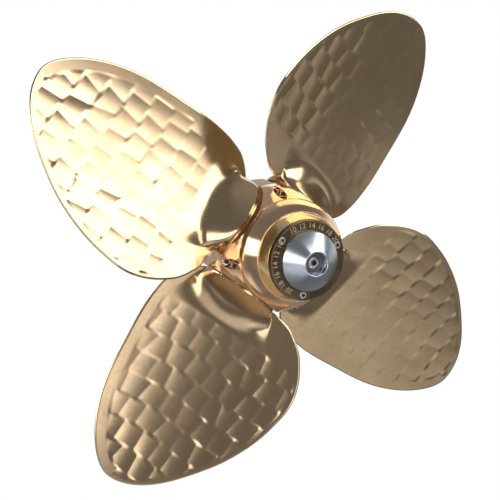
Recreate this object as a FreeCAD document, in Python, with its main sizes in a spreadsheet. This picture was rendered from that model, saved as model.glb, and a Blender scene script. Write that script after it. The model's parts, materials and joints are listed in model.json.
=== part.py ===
"""Four-bladed feathering propeller for a sailing yacht's 35 mm tapered shaft.

The shaft axis is Y, with the cone anode at the aft end (-Y). The origin is where the blade axes cross
the shaft axis, and the blades stand on +Z, -X, -Z and +X. The inner hub is keyed to the shaft and
carries one bevel gear; the split housing turns on the inner hub, and the four blades turn in the
housing, each with a bevel gear in mesh with the one on the inner hub.
"""
import FreeCAD, Part
import Sketcher
import math
import os
import re

Vector = FreeCAD.Vector

# Every driving dimension, in millimetres and degrees. "ahead" and "aft" are distances from the blade axes.
SIZES = {
    # blades
    "tip_radius": 266.7,
    "trailing_width": 102.5,
    "leading_width": 67.0,
    "chord_angle": 16.7,
    "chord_angle_radius": 170.0,
    "twist_per_metre": 36.0,
    "camber_rise": 5.0,
    "camber_reach": 100.0,
    "root_thickness": 12.0,
    "tip_thickness": 3.6,
    "edge_thickness": 2.4,
    "section_overreach": 1.04,
    # blade palm, neck and collar, as heights from the shaft axis
    "seat_height": 50.0,
    "seat_gap": 0.3,
    "palm_radius": 38.0,
    "palm_thickness": 1.5,
    "fairing_height": 30.0,
    "fairing_top_radius": 1.5,
    "hollow_across": 0.32,
    "hollow_up": 0.36,
    "neck_radius": 30.0,
    "collar_radius": 34.0,
    "collar_top": 46.0,
    "collar_bottom": 41.0,
    "seal_height": 48.1,
    "seal_thickness": 1.8,
    # bevel gears
    "cone_distance": 46.4,
    "face_width": 12.0,
    "gear_backlash": 0.2,
    "gear_screw_radius": 4.0,
    "gear_screw_head": 8.0,
    "gear_screw_length": 26.0,
    "gear_screw_sink": 0.3,
    "blade_gear_front": 27.2,
    "gear_bore_share": 0.668,
    "gear_rim_share": 0.49,
    "gear_pin_radius": 2.5,
    "gear_pin_circle": 13.0,
    "gear_pin_length": 19.0,
    "gear_pin_depth": 6.0,
    # housing
    "housing_radius": 62.0,
    "shoulder_aft": 20.0,
    "flank_drop": 3.5,
    "flank_length": 14.0,
    "crease_aft": 50.0,
    "crease_radius": 51.0,
    "crease_rise": 2.2,
    "crease_width": 4.0,
    "dome_drop": 1.0,
    "dome_length": 5.0,
    "dome_end_drop": 4.5,
    "dome_end_length": 11.0,
    "housing_aft": 67.3,
    "housing_aft_radius": 41.0,
    "shoulder_ahead": 24.0,
    "housing_ahead": 60.0,
    "housing_ahead_radius": 44.0,
    "bow_drop": 2.5,
    "bow_length": 9.0,
    "bow_end_rise": 3.0,
    "bow_end_length": 4.0,
    "cavity_radius": 41.0,
    "rear_cavity_radius": 38.0,
    "rear_cavity_depth": 31.0,
    "front_cavity_depth": 44.5,
    "running_gap": 0.05,
    "free_gap": 0.5,
    "cutter_margin": 1.0,
    "split_gap": 0.05,
    # housing screws and dowels
    "screw_circle": 55.5,
    "screw_radius": 2.5,
    "screw_head_radius": 4.25,
    "screw_head_height": 5.0,
    "screw_head_face": 27.9,
    "screw_reach": 20.0,
    "screw_socket": 4.0,
    "pocket_gap": 0.45,
    "socket_depth_share": 0.6,
    "dowel_circle": 48.0,
    "dowel_radius": 2.0,
    "dowel_length": 14.0,
    # inner hub
    "core_radius": 24.0,
    "core_aft": 43.0,
    "journal_radius": 30.0,
    "flange_radius": 40.0,
    "flange_back": 38.0,
    "flange_thickness": 5.0,
    "hub_ahead": 66.0,
    "shaft_radius": 17.5,
    "taper_length": 85.0,
    "taper_ratio": 10.0,
    "thread_clearance_radius": 13.0,
    "key_width": 10.0,
    "key_depth": 3.3,
    "key_stop": 10.0,
    "flange_screw_circle": 35.2,
    "flange_screw_radius": 2.0,
    "flange_screw_head": 4.0,
    "flange_screw_length": 9.5,
    # stop between the inner hub and the housing
    "pitch_travel": 138.0,
    "stop_width": 12.0,
    "stop_margin": 0.4,
    "stop_seat_gap": 0.2,
    "stop_inner_radius": 37.0,
    "stop_outer_radius": 44.0,
    # bearings and seals
    "bush_wall": 3.0,
    "front_bush_length": 10.0,
    "rear_bush_length": 11.0,
    "washer_thickness": 1.4,
    # shaft nut
    "nut_across_flats": 36.0,
    "nut_height": 14.0,
    "thread_minor_radius": 10.92,
    "tab_washer_thickness": 1.5,
    "tab_washer_radius": 20.5,
    # stern closure
    "pitch_ring_radius": 40.3,
    "cover_radius": 35.6,
    "cover_face": 85.0,
    "cover_lip": 4.0,
    "cover_edge_radius": 36.6,
    "cover_spigot_radius": 27.5,
    "cover_spigot_depth": 7.0,
    "cover_screw_circle": 31.1,
    "cover_screw_radius": 2.0,
    "cover_screw_head": 3.5,
    "cover_screw_head_height": 2.8,
    "cover_screw_sink": 0.2,
    "cover_screw_length": 10.0,
    "ring_screw_circle": 32.2,
    "ring_screw_head": 3.3,
    "ring_screw_head_height": 4.0,
    "ring_screw_length": 12.0,
    "ring_screw_floor": 5.0,
    "cover_screw_socket": 3.0,
    "cover_seal_thickness": 2.0,
    # anode
    "anode_radius": 26.6,
    "anode_shoulder": 89.6,
    "anode_tip": 102.4,
    "anode_rim_radius": 11.3,
    "recess_floor": 95.4,
    "sleeve_radius": 8.4,
    "anode_screw_face": 96.0,
    "anode_screw_length": 15.0,
    "anode_screw_radius": 3.0,
    "anode_screw_head": 5.0,
    "anode_screw_head_height": 6.0,
    "anode_screw_socket": 5.0,
}

BLADE_TEETH = 14
DRIVE_TEETH = 20
PRESSURE_ANGLE = math.radians(20.0)
BLADE_TURNS = (0.0, -90.0, 180.0, 90.0)
FLANGE_SCREW_TURNS = tuple(180.0 + 48.0 * step for step in range(5))

# The blade's outline as shares of tip radius, and of its greatest reach on each side of the blade axis.
TRAILING_EDGE = ((0.205, 0.52), (0.228, 0.68), (0.301, 0.873), (0.415, 1.0), (0.535, 0.983),
                 (0.721, 0.82), (0.859, 0.58), (0.958, 0.32))
LEADING_EDGE = ((0.958, 0.34), (0.886, 0.575), (0.754, 0.815), (0.573, 0.942), (0.385, 1.0),
                (0.251, 0.882), (0.205, 0.60))

document = FreeCAD.newDocument("feathering_propeller")
sizes = document.addObject("Spreadsheet::Sheet", "Sizes")


def fill_sheet():
    """Write each named size in the sheet as a plain number with its name as alias."""
    for row, (name, number) in enumerate(SIZES.items(), start=1):
        sizes.set(f"A{row}", name)
        sizes.set(f"B{row}", str(number))
        sizes.setAlias(f"B{row}", name)
    document.recompute()


def sheet_terms(expression):
    """Return an expression with each size name pointed at the sheet."""
    return re.sub(r"[a-z_]{2,}", lambda word: f"Sizes.{word[0]}" if word[0] in SIZES else word[0], expression)


def value(expression):
    """Return the number that an expression in size names has now."""
    if expression in SIZES:
        return float(sizes.get(expression))
    return float(sizes.evalExpression(sheet_terms(expression)))


def bind(thing, prop, expression):
    """Tie one property of a document object to the sheet."""
    thing.setExpression(prop, sheet_terms(expression))


def aft_turn(degrees):
    """Return the rotation about the shaft axis that carries +Z towards +X."""
    return FreeCAD.Rotation(Vector(0, 1, 0), degrees)


# ---------------------------------------------------------------- PartDesign helpers

def new_body(label, turn=0.0):
    """Add a body, turned about the shaft axis."""
    body = document.addObject("PartDesign::Body", label)
    body.Label = label
    body.Placement = FreeCAD.Placement(Vector(0, 0, 0), aft_turn(turn))
    return body


def origin_feature(body, role):
    """Return one of a body's own origin planes or axes."""
    return next(item for item in body.Origin.OriginFeatures if item.Role == role)


def corner_sketch(body, plane, name, corners, turn=0.0):
    """Draw a closed outline of straight sides whose corners are pairs of expressions."""
    sketch = body.newObject("Sketcher::SketchObject", name)
    sketch.AttachmentSupport = [(origin_feature(body, plane), "")]
    sketch.MapMode = "FlatFace"
    sketch.AttachmentOffset = FreeCAD.Placement(Vector(0, 0, 0), FreeCAD.Rotation(Vector(0, 1, 0), turn))
    points = [Vector(value(across), value(along), 0) for across, along in corners]
    count = len(points)
    for index, point in enumerate(points):
        sketch.addGeometry(Part.LineSegment(point, points[(index + 1) % count]), False)
    for index in range(count):
        sketch.addConstraint(Sketcher.Constraint("Coincident", index, 2, (index + 1) % count, 1))
    for index, corner in enumerate(corners):
        for kind, expression in zip(("DistanceX", "DistanceY"), corner):
            number = sketch.addConstraint(Sketcher.Constraint(kind, index, 1, value(expression)))
            bind(sketch, f"Constraints[{number}]", expression)
    return sketch


def turned(body, corners, name="Turning"):
    """Revolve an outline of (radius, y) corners about the shaft axis."""
    sketch = corner_sketch(body, "XY_Plane", name + "Profile", corners)
    turning = body.newObject("PartDesign::Revolution", name)
    turning.Profile = sketch
    turning.ReferenceAxis = (sketch, ["V_Axis"])
    turning.Angle = 360.0
    document.recompute()
    return turning


def turned_about_blade_axis(body, corners, name="Turning"):
    """Revolve an outline of (radius, height) corners about the Z axis."""
    sketch = corner_sketch(body, "XZ_Plane", name + "Profile", corners)
    turning = body.newObject("PartDesign::Revolution", name)
    turning.Profile = sketch
    turning.ReferenceAxis = (sketch, ["V_Axis"])
    turning.Angle = 360.0
    document.recompute()
    return turning


def round_cut(body, name, radius, reach, start, direction):
    """Cut a round hole. start is three expressions; direction is the way the hole runs."""
    hole = body.newObject("PartDesign::SubtractiveCylinder", name)
    hole.Placement = FreeCAD.Placement(Vector(*(value(term) for term in start)),
                                       FreeCAD.Rotation(Vector(0, 0, 1), direction))
    bind(hole, "Radius", radius)
    bind(hole, "Height", reach)
    for axis, term in zip("xyz", start):
        bind(hole, f"Placement.Base.{axis}", term)
    document.recompute()
    return hole


def box_cut(body, name, size, corner):
    """Cut a box with its lowest corner given; sizes and corner are triples of expressions."""
    box = body.newObject("PartDesign::SubtractiveBox", name)
    box.Placement = FreeCAD.Placement(Vector(*(value(term) for term in corner)), FreeCAD.Rotation())
    for prop, term in zip(("Length", "Width", "Height"), size):
        bind(box, prop, term)
    for axis, term in zip("xyz", corner):
        bind(box, f"Placement.Base.{axis}", term)
    document.recompute()
    return box


def around_shaft(body, originals, count, name, spread=360.0):
    """Repeat cuts evenly about the shaft axis, over a full turn or a spread in degrees."""
    pattern = body.newObject("PartDesign::PolarPattern", name)
    pattern.Originals = originals
    pattern.Axis = (origin_feature(body, "Y_Axis"), [""])
    pattern.Angle = spread
    pattern.Occurrences = count
    body.Tip = pattern
    document.recompute()
    return pattern


def ring(label, inner, outer, low, high):
    """Make a plain ring about the shaft axis between two y places."""
    body = new_body(label)
    turned(body, ((inner, low), (outer, low), (outer, high), (inner, high)))
    return body


def shape_node(label, shape, turn=0.0):
    """Add a sub-part whose shape is made in code, turned about the shaft axis."""
    node = document.addObject("Part::Feature", label)
    node.Label = label
    node.Shape = shape
    node.Placement = FreeCAD.Placement(Vector(0, 0, 0), aft_turn(turn)).multiply(shape.Placement)
    return node


def copies(label, master, turns):
    """Add one node that holds a separate solid of a fastener at each turn about the shaft axis."""
    document.recompute()
    solids = []
    for turn in turns:
        solid = master.Shape.copy()
        solid.rotate(Vector(0, 0, 0), Vector(0, 1, 0), turn)
        solids.append(solid)
    return shape_node(label, Part.makeCompound(solids))


# ---------------------------------------------------------------- fasteners

def socket_screw(label, circle, face, head, head_height, shank, length, socket):
    """Make a socket-head screw on +Z at a circle radius, its head facing aft at a given distance."""
    body = new_body(label)
    under_head = f"{head_height} - ({face})"
    sketch = corner_sketch(body, "XY_Plane", "ScrewProfile",
                           (("0", f"-({face})"), (head, f"-({face})"), (head, under_head),
                            (shank, under_head), (shank, f"{under_head} + {length}"),
                            ("0", f"{under_head} + {length}")))
    sketch.AttachmentOffset = FreeCAD.Placement(Vector(0, 0, value(circle)), FreeCAD.Rotation())
    bind(sketch, "AttachmentOffset.Base.z", circle)
    turning = body.newObject("PartDesign::Revolution", "Turning")
    turning.Profile = sketch
    turning.ReferenceAxis = (sketch, ["V_Axis"])
    turning.Angle = 360.0
    key_hole = body.newObject("PartDesign::SubtractivePrism", "HexSocket")
    key_hole.Polygon = 6
    key_hole.Placement = FreeCAD.Placement(Vector(0, -value(face) - value("cutter_margin"), value(circle)),
                                           FreeCAD.Rotation(Vector(0, 0, 1), Vector(0, 1, 0)))
    bind(key_hole, "Circumradius", f"{socket} / sqrt(3)")
    bind(key_hole, "Height", f"{head_height} * socket_depth_share + cutter_margin")
    bind(key_hole, "Placement.Base.y", f"-({face}) - cutter_margin")
    bind(key_hole, "Placement.Base.z", circle)
    document.recompute()
    return body


# ---------------------------------------------------------------- housing

def cut_blade_seats(body):
    """Cut the four seats: flat, neck bore, collar recess and gear bore."""
    flat = box_cut(body, "SeatFlat",
                   ("4 * housing_radius", "4 * housing_radius", "housing_radius"),
                   ("-2 * housing_radius", "-2 * housing_radius", "seat_height"))
    around_shaft(body, [flat], 4, "SeatFlats")
    upward = Vector(0, 0, 1)
    neck = round_cut(body, "NeckBore", "neck_radius + running_gap", "housing_radius",
                     ("0", "0", "cutter_margin"), upward)
    around_shaft(body, [neck], 4, "NeckBores")
    recess = round_cut(body, "CollarRecess", "collar_radius + seat_gap",
                       "collar_top - collar_bottom + 2 * seat_gap",
                       ("0", "0", "collar_bottom - seat_gap"), upward)
    around_shaft(body, [recess], 4, "CollarRecesses")
    gear_bore = round_cut(body, "GearBore", "cone_distance * gear_bore_share", "collar_bottom",
                          ("0", "0", "0"), upward)
    around_shaft(body, [gear_bore], 4, "GearBores")


def dowel_holes(body):
    """Cut the two dowel holes across the joint face, in opposite lobes."""
    half = "dowel_circle * sqrt(0.5)"
    hole = round_cut(body, "DowelHole", "dowel_radius + running_gap / 2", "dowel_length + cutter_margin",
                     (half, "-(dowel_length + cutter_margin) / 2", half), Vector(0, 1, 0))
    around_shaft(body, [hole], 2, "DowelHoles")


def housing_rear():
    """Make the aft half of the housing, with its four screw pockets and the rear bearing bore."""
    body = new_body("housing_rear")
    turned(body, (
        ("rear_cavity_radius", "-split_gap"),
        ("housing_radius", "-split_gap"),
        ("housing_radius", "-shoulder_aft"),
        ("housing_radius - flank_drop", "-shoulder_aft - flank_length"),
        ("crease_radius + crease_rise", "-crease_aft + crease_width"),
        ("crease_radius", "-crease_aft"),
        ("crease_radius - dome_drop", "-crease_aft - dome_length"),
        ("crease_radius - dome_end_drop", "-crease_aft - dome_end_length"),
        ("housing_aft_radius", "-housing_aft"),
        ("core_radius + bush_wall", "-housing_aft"),
        ("core_radius + bush_wall", "-rear_cavity_depth"),
        ("rear_cavity_radius", "-rear_cavity_depth"),
    ))
    cut_blade_seats(body)
    half = "screw_circle * sqrt(0.5)"
    pocket = round_cut(body, "ScrewPocket", "screw_head_radius + pocket_gap", "housing_aft",
                       (half, "screw_head_height - screw_head_face", half), Vector(0, -1, 0))
    around_shaft(body, [pocket], 4, "ScrewPockets")
    shank = round_cut(body, "ShankHole", "screw_radius + running_gap", "screw_head_face",
                      (half, "cutter_margin", half), Vector(0, -1, 0))
    around_shaft(body, [shank], 4, "ShankHoles")
    tapped = round_cut(body, "RingScrewHole", "cover_screw_radius + running_gap", "ring_screw_length",
                       ("-ring_screw_circle * 0.5", "ring_screw_length - housing_aft - cutter_margin",
                        "ring_screw_circle * sqrt(0.75)"), Vector(0, -1, 0))
    around_shaft(body, [tapped], 3, "RingScrewHoles")
    dowel_holes(body)
    return body


def housing_front():
    """Make the forward half of the housing, with the front bearing bore and the stop's seat."""
    body = new_body("housing_front")
    turned(body, (
        ("cavity_radius", "split_gap"),
        ("housing_radius", "split_gap"),
        ("housing_radius", "shoulder_ahead"),
        ("housing_radius - bow_drop", "shoulder_ahead + bow_length"),
        ("housing_ahead_radius + bow_end_rise", "housing_ahead - bow_end_length"),
        ("housing_ahead_radius", "housing_ahead"),
        ("journal_radius + bush_wall", "housing_ahead"),
        ("journal_radius + bush_wall", "front_cavity_depth"),
        ("cavity_radius", "front_cavity_depth"),
    ))
    cut_blade_seats(body)
    half = "screw_circle * sqrt(0.5)"
    tapped = round_cut(body, "TappedHole", "screw_radius + running_gap", "screw_reach + 2 * cutter_margin",
                       (half, "-cutter_margin", half), Vector(0, 1, 0))
    around_shaft(body, [tapped], 4, "TappedHoles")
    dowel_holes(body)
    seat = corner_sketch(body, "XY_Plane", "StopSeatProfile", (
        ("cavity_radius - cutter_margin", "flange_back - stop_seat_gap"),
        ("stop_outer_radius", "flange_back - stop_seat_gap"),
        ("stop_outer_radius", "flange_back + flange_thickness + stop_seat_gap"),
        ("cavity_radius - cutter_margin", "flange_back + flange_thickness + stop_seat_gap"),
    ), turn=value("-45 + stop_width / 2"))
    slot = body.newObject("PartDesign::Groove", "StopSeat")
    slot.Profile = seat
    slot.ReferenceAxis = (seat, ["V_Axis"])
    bind(slot, "Angle", "stop_width")
    slot.Reversed = True
    document.recompute()
    return body


def stop_key():
    """Make the key in the housing that runs in the notch of the inner hub's flange."""
    body = new_body("stop_key")
    sketch = corner_sketch(body, "XY_Plane", "StopProfile", (
        ("stop_inner_radius", "flange_back"),
        ("stop_outer_radius - running_gap", "flange_back"),
        ("stop_outer_radius - running_gap", "flange_back + flange_thickness"),
        ("stop_inner_radius", "flange_back + flange_thickness"),
    ), turn=value("-45 + stop_width / 2"))
    block = body.newObject("PartDesign::Revolution", "Block")
    block.Profile = sketch
    block.ReferenceAxis = (sketch, ["V_Axis"])
    bind(block, "Angle", "stop_width")
    block.Reversed = True
    document.recompute()
    return body


def hub_dowels():
    """Make the two dowels that line up the halves of the housing."""
    body = new_body("dowel_master")
    dowel = body.newObject("PartDesign::AdditiveCylinder", "Dowel")
    dowel.Placement = FreeCAD.Placement(Vector(0, 0, 0), FreeCAD.Rotation(Vector(0, 0, 1), Vector(0, 1, 0)))
    bind(dowel, "Radius", "dowel_radius")
    bind(dowel, "Height", "dowel_length")
    bind(dowel, "Placement.Base.y", "-dowel_length / 2")
    bind(dowel, "Placement.Base.z", "dowel_circle")
    return copies("hub_dowels", body, (45.0, 225.0))


# ---------------------------------------------------------------- inner hub

def driver_hub():
    """Make the inner hub with its taper bore, keyway, gear flange and stop notch."""
    body = new_body("driver_hub")
    taper_end = "hub_ahead - taper_length"
    turned(body, (
        ("shaft_radius", "hub_ahead"),
        ("journal_radius", "hub_ahead"),
        ("journal_radius", "flange_back + flange_thickness"),
        ("flange_radius", "flange_back + flange_thickness"),
        ("flange_radius", "flange_back"),
        ("core_radius", "flange_back"),
        ("core_radius", "-core_aft"),
        ("thread_clearance_radius", "-core_aft"),
        ("thread_clearance_radius", taper_end),
        ("shaft_radius - taper_length / taper_ratio / 2", taper_end),
    ))
    box_cut(body, "Keyway", ("key_width", "taper_length - key_stop", "shaft_radius + key_depth"),
            ("-key_width / 2", "hub_ahead - taper_length + key_stop", "0"))
    notch = corner_sketch(body, "XY_Plane", "NotchProfile", (
        ("stop_inner_radius - free_gap", "flange_back - cutter_margin"),
        ("flange_radius + cutter_margin", "flange_back - cutter_margin"),
        ("flange_radius + cutter_margin", "flange_back + flange_thickness + cutter_margin"),
        ("stop_inner_radius - free_gap", "flange_back + flange_thickness + cutter_margin"),
    ), turn=value("-45 - stop_width / 2 - stop_margin"))
    cut = body.newObject("PartDesign::Groove", "StopNotch")
    cut.Profile = notch
    cut.ReferenceAxis = (notch, ["V_Axis"])
    bind(cut, "Angle", f"pitch_travel * {BLADE_TEETH} / {DRIVE_TEETH} + stop_width + 2 * stop_margin")
    document.recompute()
    hole = round_cut(body, "FlangeScrewHole", "flange_screw_radius + running_gap",
                     "flange_thickness + 2 * cutter_margin",
                     ("0", "flange_back - cutter_margin", "-flange_screw_circle"), Vector(0, 1, 0))
    spread = FLANGE_SCREW_TURNS[-1] - FLANGE_SCREW_TURNS[0]
    around_shaft(body, [hole], len(FLANGE_SCREW_TURNS), "FlangeScrewHoles", spread)
    sink = body.newObject("PartDesign::SubtractiveCone", "FlangeCountersink")
    sink.Placement = FreeCAD.Placement(Vector(0, 0, 0), FreeCAD.Rotation(Vector(0, 0, 1), Vector(0, 1, 0)))
    bind(sink, "Radius1", "flange_screw_radius")
    bind(sink, "Radius2", "flange_screw_head + running_gap")
    bind(sink, "Height", "flange_screw_head - flange_screw_radius + running_gap")
    bind(sink, "Placement.Base.y",
         "flange_back + flange_thickness - flange_screw_head + flange_screw_radius - running_gap")
    bind(sink, "Placement.Base.z", "-flange_screw_circle")
    document.recompute()
    around_shaft(body, [sink], len(FLANGE_SCREW_TURNS), "FlangeCountersinks", spread)
    return body


def flange_screws():
    """Make the countersunk screws that hold the drive gear to the flange, clear of the stop notch."""
    body = new_body("flange_screw_master")
    face = "flange_back + flange_thickness"
    sketch = corner_sketch(body, "XY_Plane", "ScrewProfile", (
        ("0", face),
        ("flange_screw_head", face),
        ("flange_screw_radius", f"{face} - flange_screw_head + flange_screw_radius"),
        ("flange_screw_radius", f"{face} - flange_screw_length"),
        ("0", f"{face} - flange_screw_length"),
    ))
    bind(sketch, "AttachmentOffset.Base.z", "flange_screw_circle")
    turning = body.newObject("PartDesign::Revolution", "Turning")
    turning.Profile = sketch
    turning.ReferenceAxis = (sketch, ["V_Axis"])
    turning.Angle = 360.0
    document.recompute()
    return copies("drive_gear_screws", body, FLANGE_SCREW_TURNS)


def shaft_nut():
    """Make the hexagon shaft nut with its threaded bore shown at the minor diameter."""
    body = new_body("shaft_nut")
    block = body.newObject("PartDesign::AdditivePrism", "Hexagon")
    block.Polygon = 6
    block.Placement = FreeCAD.Placement(Vector(0, 0, 0), FreeCAD.Rotation(Vector(0, 0, 1), Vector(0, -1, 0)))
    bind(block, "Circumradius", "nut_across_flats / sqrt(3)")
    bind(block, "Height", "nut_height")
    bind(block, "Placement.Base.y", "-core_aft - tab_washer_thickness")
    document.recompute()
    round_cut(body, "ThreadBore", "thread_minor_radius", "nut_height + 2 * cutter_margin",
              ("0", "-core_aft - tab_washer_thickness + cutter_margin", "0"), Vector(0, -1, 0))
    return body


# ---------------------------------------------------------------- stern closure and anode

def pitch_ring():
    """Make the conical brass ring on the housing's aft face."""
    body = new_body("pitch_ring")
    lip = "-cover_face + cover_lip"
    turned(body, (
        ("cover_spigot_radius + running_gap", "-housing_aft"),
        ("pitch_ring_radius", "-housing_aft"),
        ("cover_edge_radius", lip),
        ("cover_spigot_radius + running_gap", lip),
    ))
    place = ("-ring_screw_circle * 0.5", "-housing_aft + cutter_margin", "ring_screw_circle * sqrt(0.75)")
    hole = round_cut(body, "RingScrewHole", "cover_screw_radius + running_gap", "cover_face", place,
                     Vector(0, -1, 0))
    around_shaft(body, [hole], 3, "RingScrewHoles")
    head = round_cut(body, "RingScrewPocket", "ring_screw_head + running_gap", "cover_face",
                     (place[0], "-housing_aft - ring_screw_floor", place[2]), Vector(0, -1, 0))
    around_shaft(body, [head], 3, "RingScrewPockets")
    tapped = round_cut(body, "CoverScrewHole", "cover_screw_radius + running_gap",
                       "cover_screw_length + cover_lip",
                       ("cover_screw_circle * 0.5", f"{lip} + cover_screw_length",
                        "cover_screw_circle * sqrt(0.75)"), Vector(0, -1, 0))
    around_shaft(body, [tapped], 3, "CoverScrewHoles")
    return body


def pitch_ring_screws():
    """Make the three socket screws sunk in the brass ring, under the cover."""
    screw = socket_screw("ring_screw_master", "ring_screw_circle",
                         "housing_aft + ring_screw_floor + ring_screw_head_height",
                         "ring_screw_head", "ring_screw_head_height", "cover_screw_radius",
                         "ring_screw_length", "cover_screw_socket")
    return copies("pitch_ring_screws", screw, (-30.0, 90.0, 210.0))


def end_cover():
    """Make the cover disc with its spigot, seal groove, screw pockets and the anode screw's hole."""
    body = new_body("end_cover")
    lip = "-cover_face + cover_lip"
    groove_end = f"{lip} + cover_spigot_depth - cover_seal_thickness"
    groove_start = f"{groove_end} - cover_seal_thickness"
    turned(body, (
        ("anode_screw_radius + running_gap", "-cover_face"),
        ("cover_radius", "-cover_face"),
        ("cover_edge_radius", lip),
        ("cover_spigot_radius", lip),
        ("cover_spigot_radius", groove_start),
        ("cover_spigot_radius - cover_seal_thickness", groove_start),
        ("cover_spigot_radius - cover_seal_thickness", groove_end),
        ("cover_spigot_radius", groove_end),
        ("cover_spigot_radius", f"{lip} + cover_spigot_depth"),
        ("anode_screw_radius + running_gap", f"{lip} + cover_spigot_depth"),
    ))
    place = ("cover_screw_circle * 0.5", f"{lip} + cutter_margin", "cover_screw_circle * sqrt(0.75)")
    hole = round_cut(body, "ScrewHole", "cover_screw_radius + running_gap", "cover_face", place,
                     Vector(0, -1, 0))
    around_shaft(body, [hole], 3, "ScrewHoles")
    head = round_cut(body, "ScrewPocket", "cover_screw_head + 4 * running_gap", "cover_face",
                     (place[0], "-cover_face + cover_screw_sink + cover_screw_head_height", place[2]),
                     Vector(0, -1, 0))
    around_shaft(body, [head], 3, "ScrewPockets")
    return body


def cover_seal():
    """Make the rubber ring in the cover's spigot."""
    start = "-cover_face + cover_lip + cover_spigot_depth - 2 * cover_seal_thickness"
    return ring("cover_seal", "cover_spigot_radius - cover_seal_thickness + running_gap",
                "cover_spigot_radius", f"{start} + running_gap",
                f"{start} + cover_seal_thickness - running_gap")


def cover_screws():
    """Make the three low-head socket screws of the cover, one of them in line with the -X blade."""
    screw = socket_screw("cover_screw_master", "cover_screw_circle", "cover_face - cover_screw_sink",
                         "cover_screw_head", "cover_screw_head_height", "cover_screw_radius",
                         "cover_screw_length", "cover_screw_socket")
    return copies("cover_screws", screw, (30.0, 150.0, 270.0))


def anode():
    """Make the conical zinc with its recess."""
    body = new_body("anode")
    turned(body, (
        ("sleeve_radius + running_gap", "-cover_face"),
        ("anode_radius", "-cover_face"),
        ("anode_radius", "-anode_shoulder"),
        ("anode_rim_radius", "-anode_tip"),
        ("sleeve_radius + running_gap", "-recess_floor"),
    ))
    return body


def anode_sleeve():
    """Make the steel sleeve in the zinc, counterbored for the screw's head."""
    body = new_body("anode_sleeve")
    head_floor = "anode_screw_head_height - anode_screw_face"
    turned(body, (
        ("anode_screw_radius + running_gap", "-cover_face"),
        ("sleeve_radius", "-cover_face"),
        ("sleeve_radius", "-recess_floor"),
        ("anode_screw_head + 4 * running_gap", "-recess_floor"),
        ("anode_screw_head + 4 * running_gap", head_floor),
        ("anode_screw_radius + running_gap", head_floor),
    ))
    return body


def anode_screw():
    """Make the central socket screw that holds the zinc to the cover."""
    screw = socket_screw("anode_screw_master", "0", "anode_screw_face", "anode_screw_head",
                         "anode_screw_head_height", "anode_screw_radius", "anode_screw_length",
                         "anode_screw_socket")
    return copies("anode_screw", screw, (0.0,))


# ---------------------------------------------------------------- blades

def chord_angle(radius):
    """Return the angle in radians between the blade's chord and the plane of the disc at a radius."""
    twist = value("twist_per_metre") * (radius - value("chord_angle_radius")) / 1000
    return math.radians(value("chord_angle") - twist)


def face_point(radius, chord, depth):
    """Return a point of the +Z blade. depth is measured ahead from the pressure face."""
    angle = chord_angle(radius)
    camber = value("camber_rise") * (chord / value("camber_reach")) ** 2
    return Vector(-chord * math.cos(angle) - depth * math.sin(angle),
                  -chord * math.sin(angle) - camber + depth * math.cos(angle), radius)


def thickness(radius, chord, half_chord):
    """Return the blade's thickness, greatest at the blade axis and least at the edges."""
    span = (radius - value("seat_height")) / (value("tip_radius") - value("seat_height"))
    middle = value("root_thickness") + (value("tip_thickness") - value("root_thickness")) * span
    edge = value("edge_thickness")
    return edge + (middle - edge) * (1 - (chord / half_chord) ** 2)


def blade_section(radius, half_chord):
    """Return the closed wire of the blade's section at a radius, wider than the outline."""
    places = [half_chord * (step / 4 - 1) for step in range(9)]
    aft_points = [face_point(radius, chord, 0) for chord in places]
    ahead_points = [face_point(radius, chord, thickness(radius, chord, half_chord)) for chord in places]
    aft_line = Part.BSplineCurve()
    aft_line.interpolate(aft_points)
    ahead_line = Part.BSplineCurve()
    ahead_line.interpolate(ahead_points[::-1])
    return Part.Wire([
        aft_line.toShape(),
        Part.LineSegment(aft_points[-1], ahead_points[-1]).toShape(),
        ahead_line.toShape(),
        Part.LineSegment(ahead_points[0], aft_points[0]).toShape(),
    ])


def outline_prism(depth):
    """Return the blade's outline extruded square to its chord, through the blade's whole depth."""
    tip = value("tip_radius")
    points = [Vector(-share * value("trailing_width"), 0, along * tip) for along, share in TRAILING_EDGE]
    points.append(Vector(0, 0, tip))
    points += [Vector(share * value("leading_width"), 0, along * tip) for along, share in LEADING_EDGE]
    edge = Part.BSplineCurve()
    edge.interpolate(points)
    closing = Part.LineSegment(points[-1], points[0])
    face = Part.Face(Part.Wire([edge.toShape(), closing.toShape()]))
    face.translate(Vector(0, -depth, 0))
    prism = face.extrude(Vector(0, 2 * depth, 0))
    prism.rotate(Vector(0, 0, 0), Vector(0, 0, 1), value("chord_angle"))
    return prism


def upright(corner):
    """Return the point of the XZ plane at a (radius, height) corner."""
    return Vector(corner[0], 0, corner[1])


def turned_face(corners):
    """Return a ring about +Z whose section has straight sides between (radius, height) corners."""
    wire = Part.makePolygon([upright(corner) for corner in corners] + [upright(corners[0])])
    return Part.Face(wire).revolve(Vector(0, 0, 0), Vector(0, 0, 1), 360)


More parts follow.
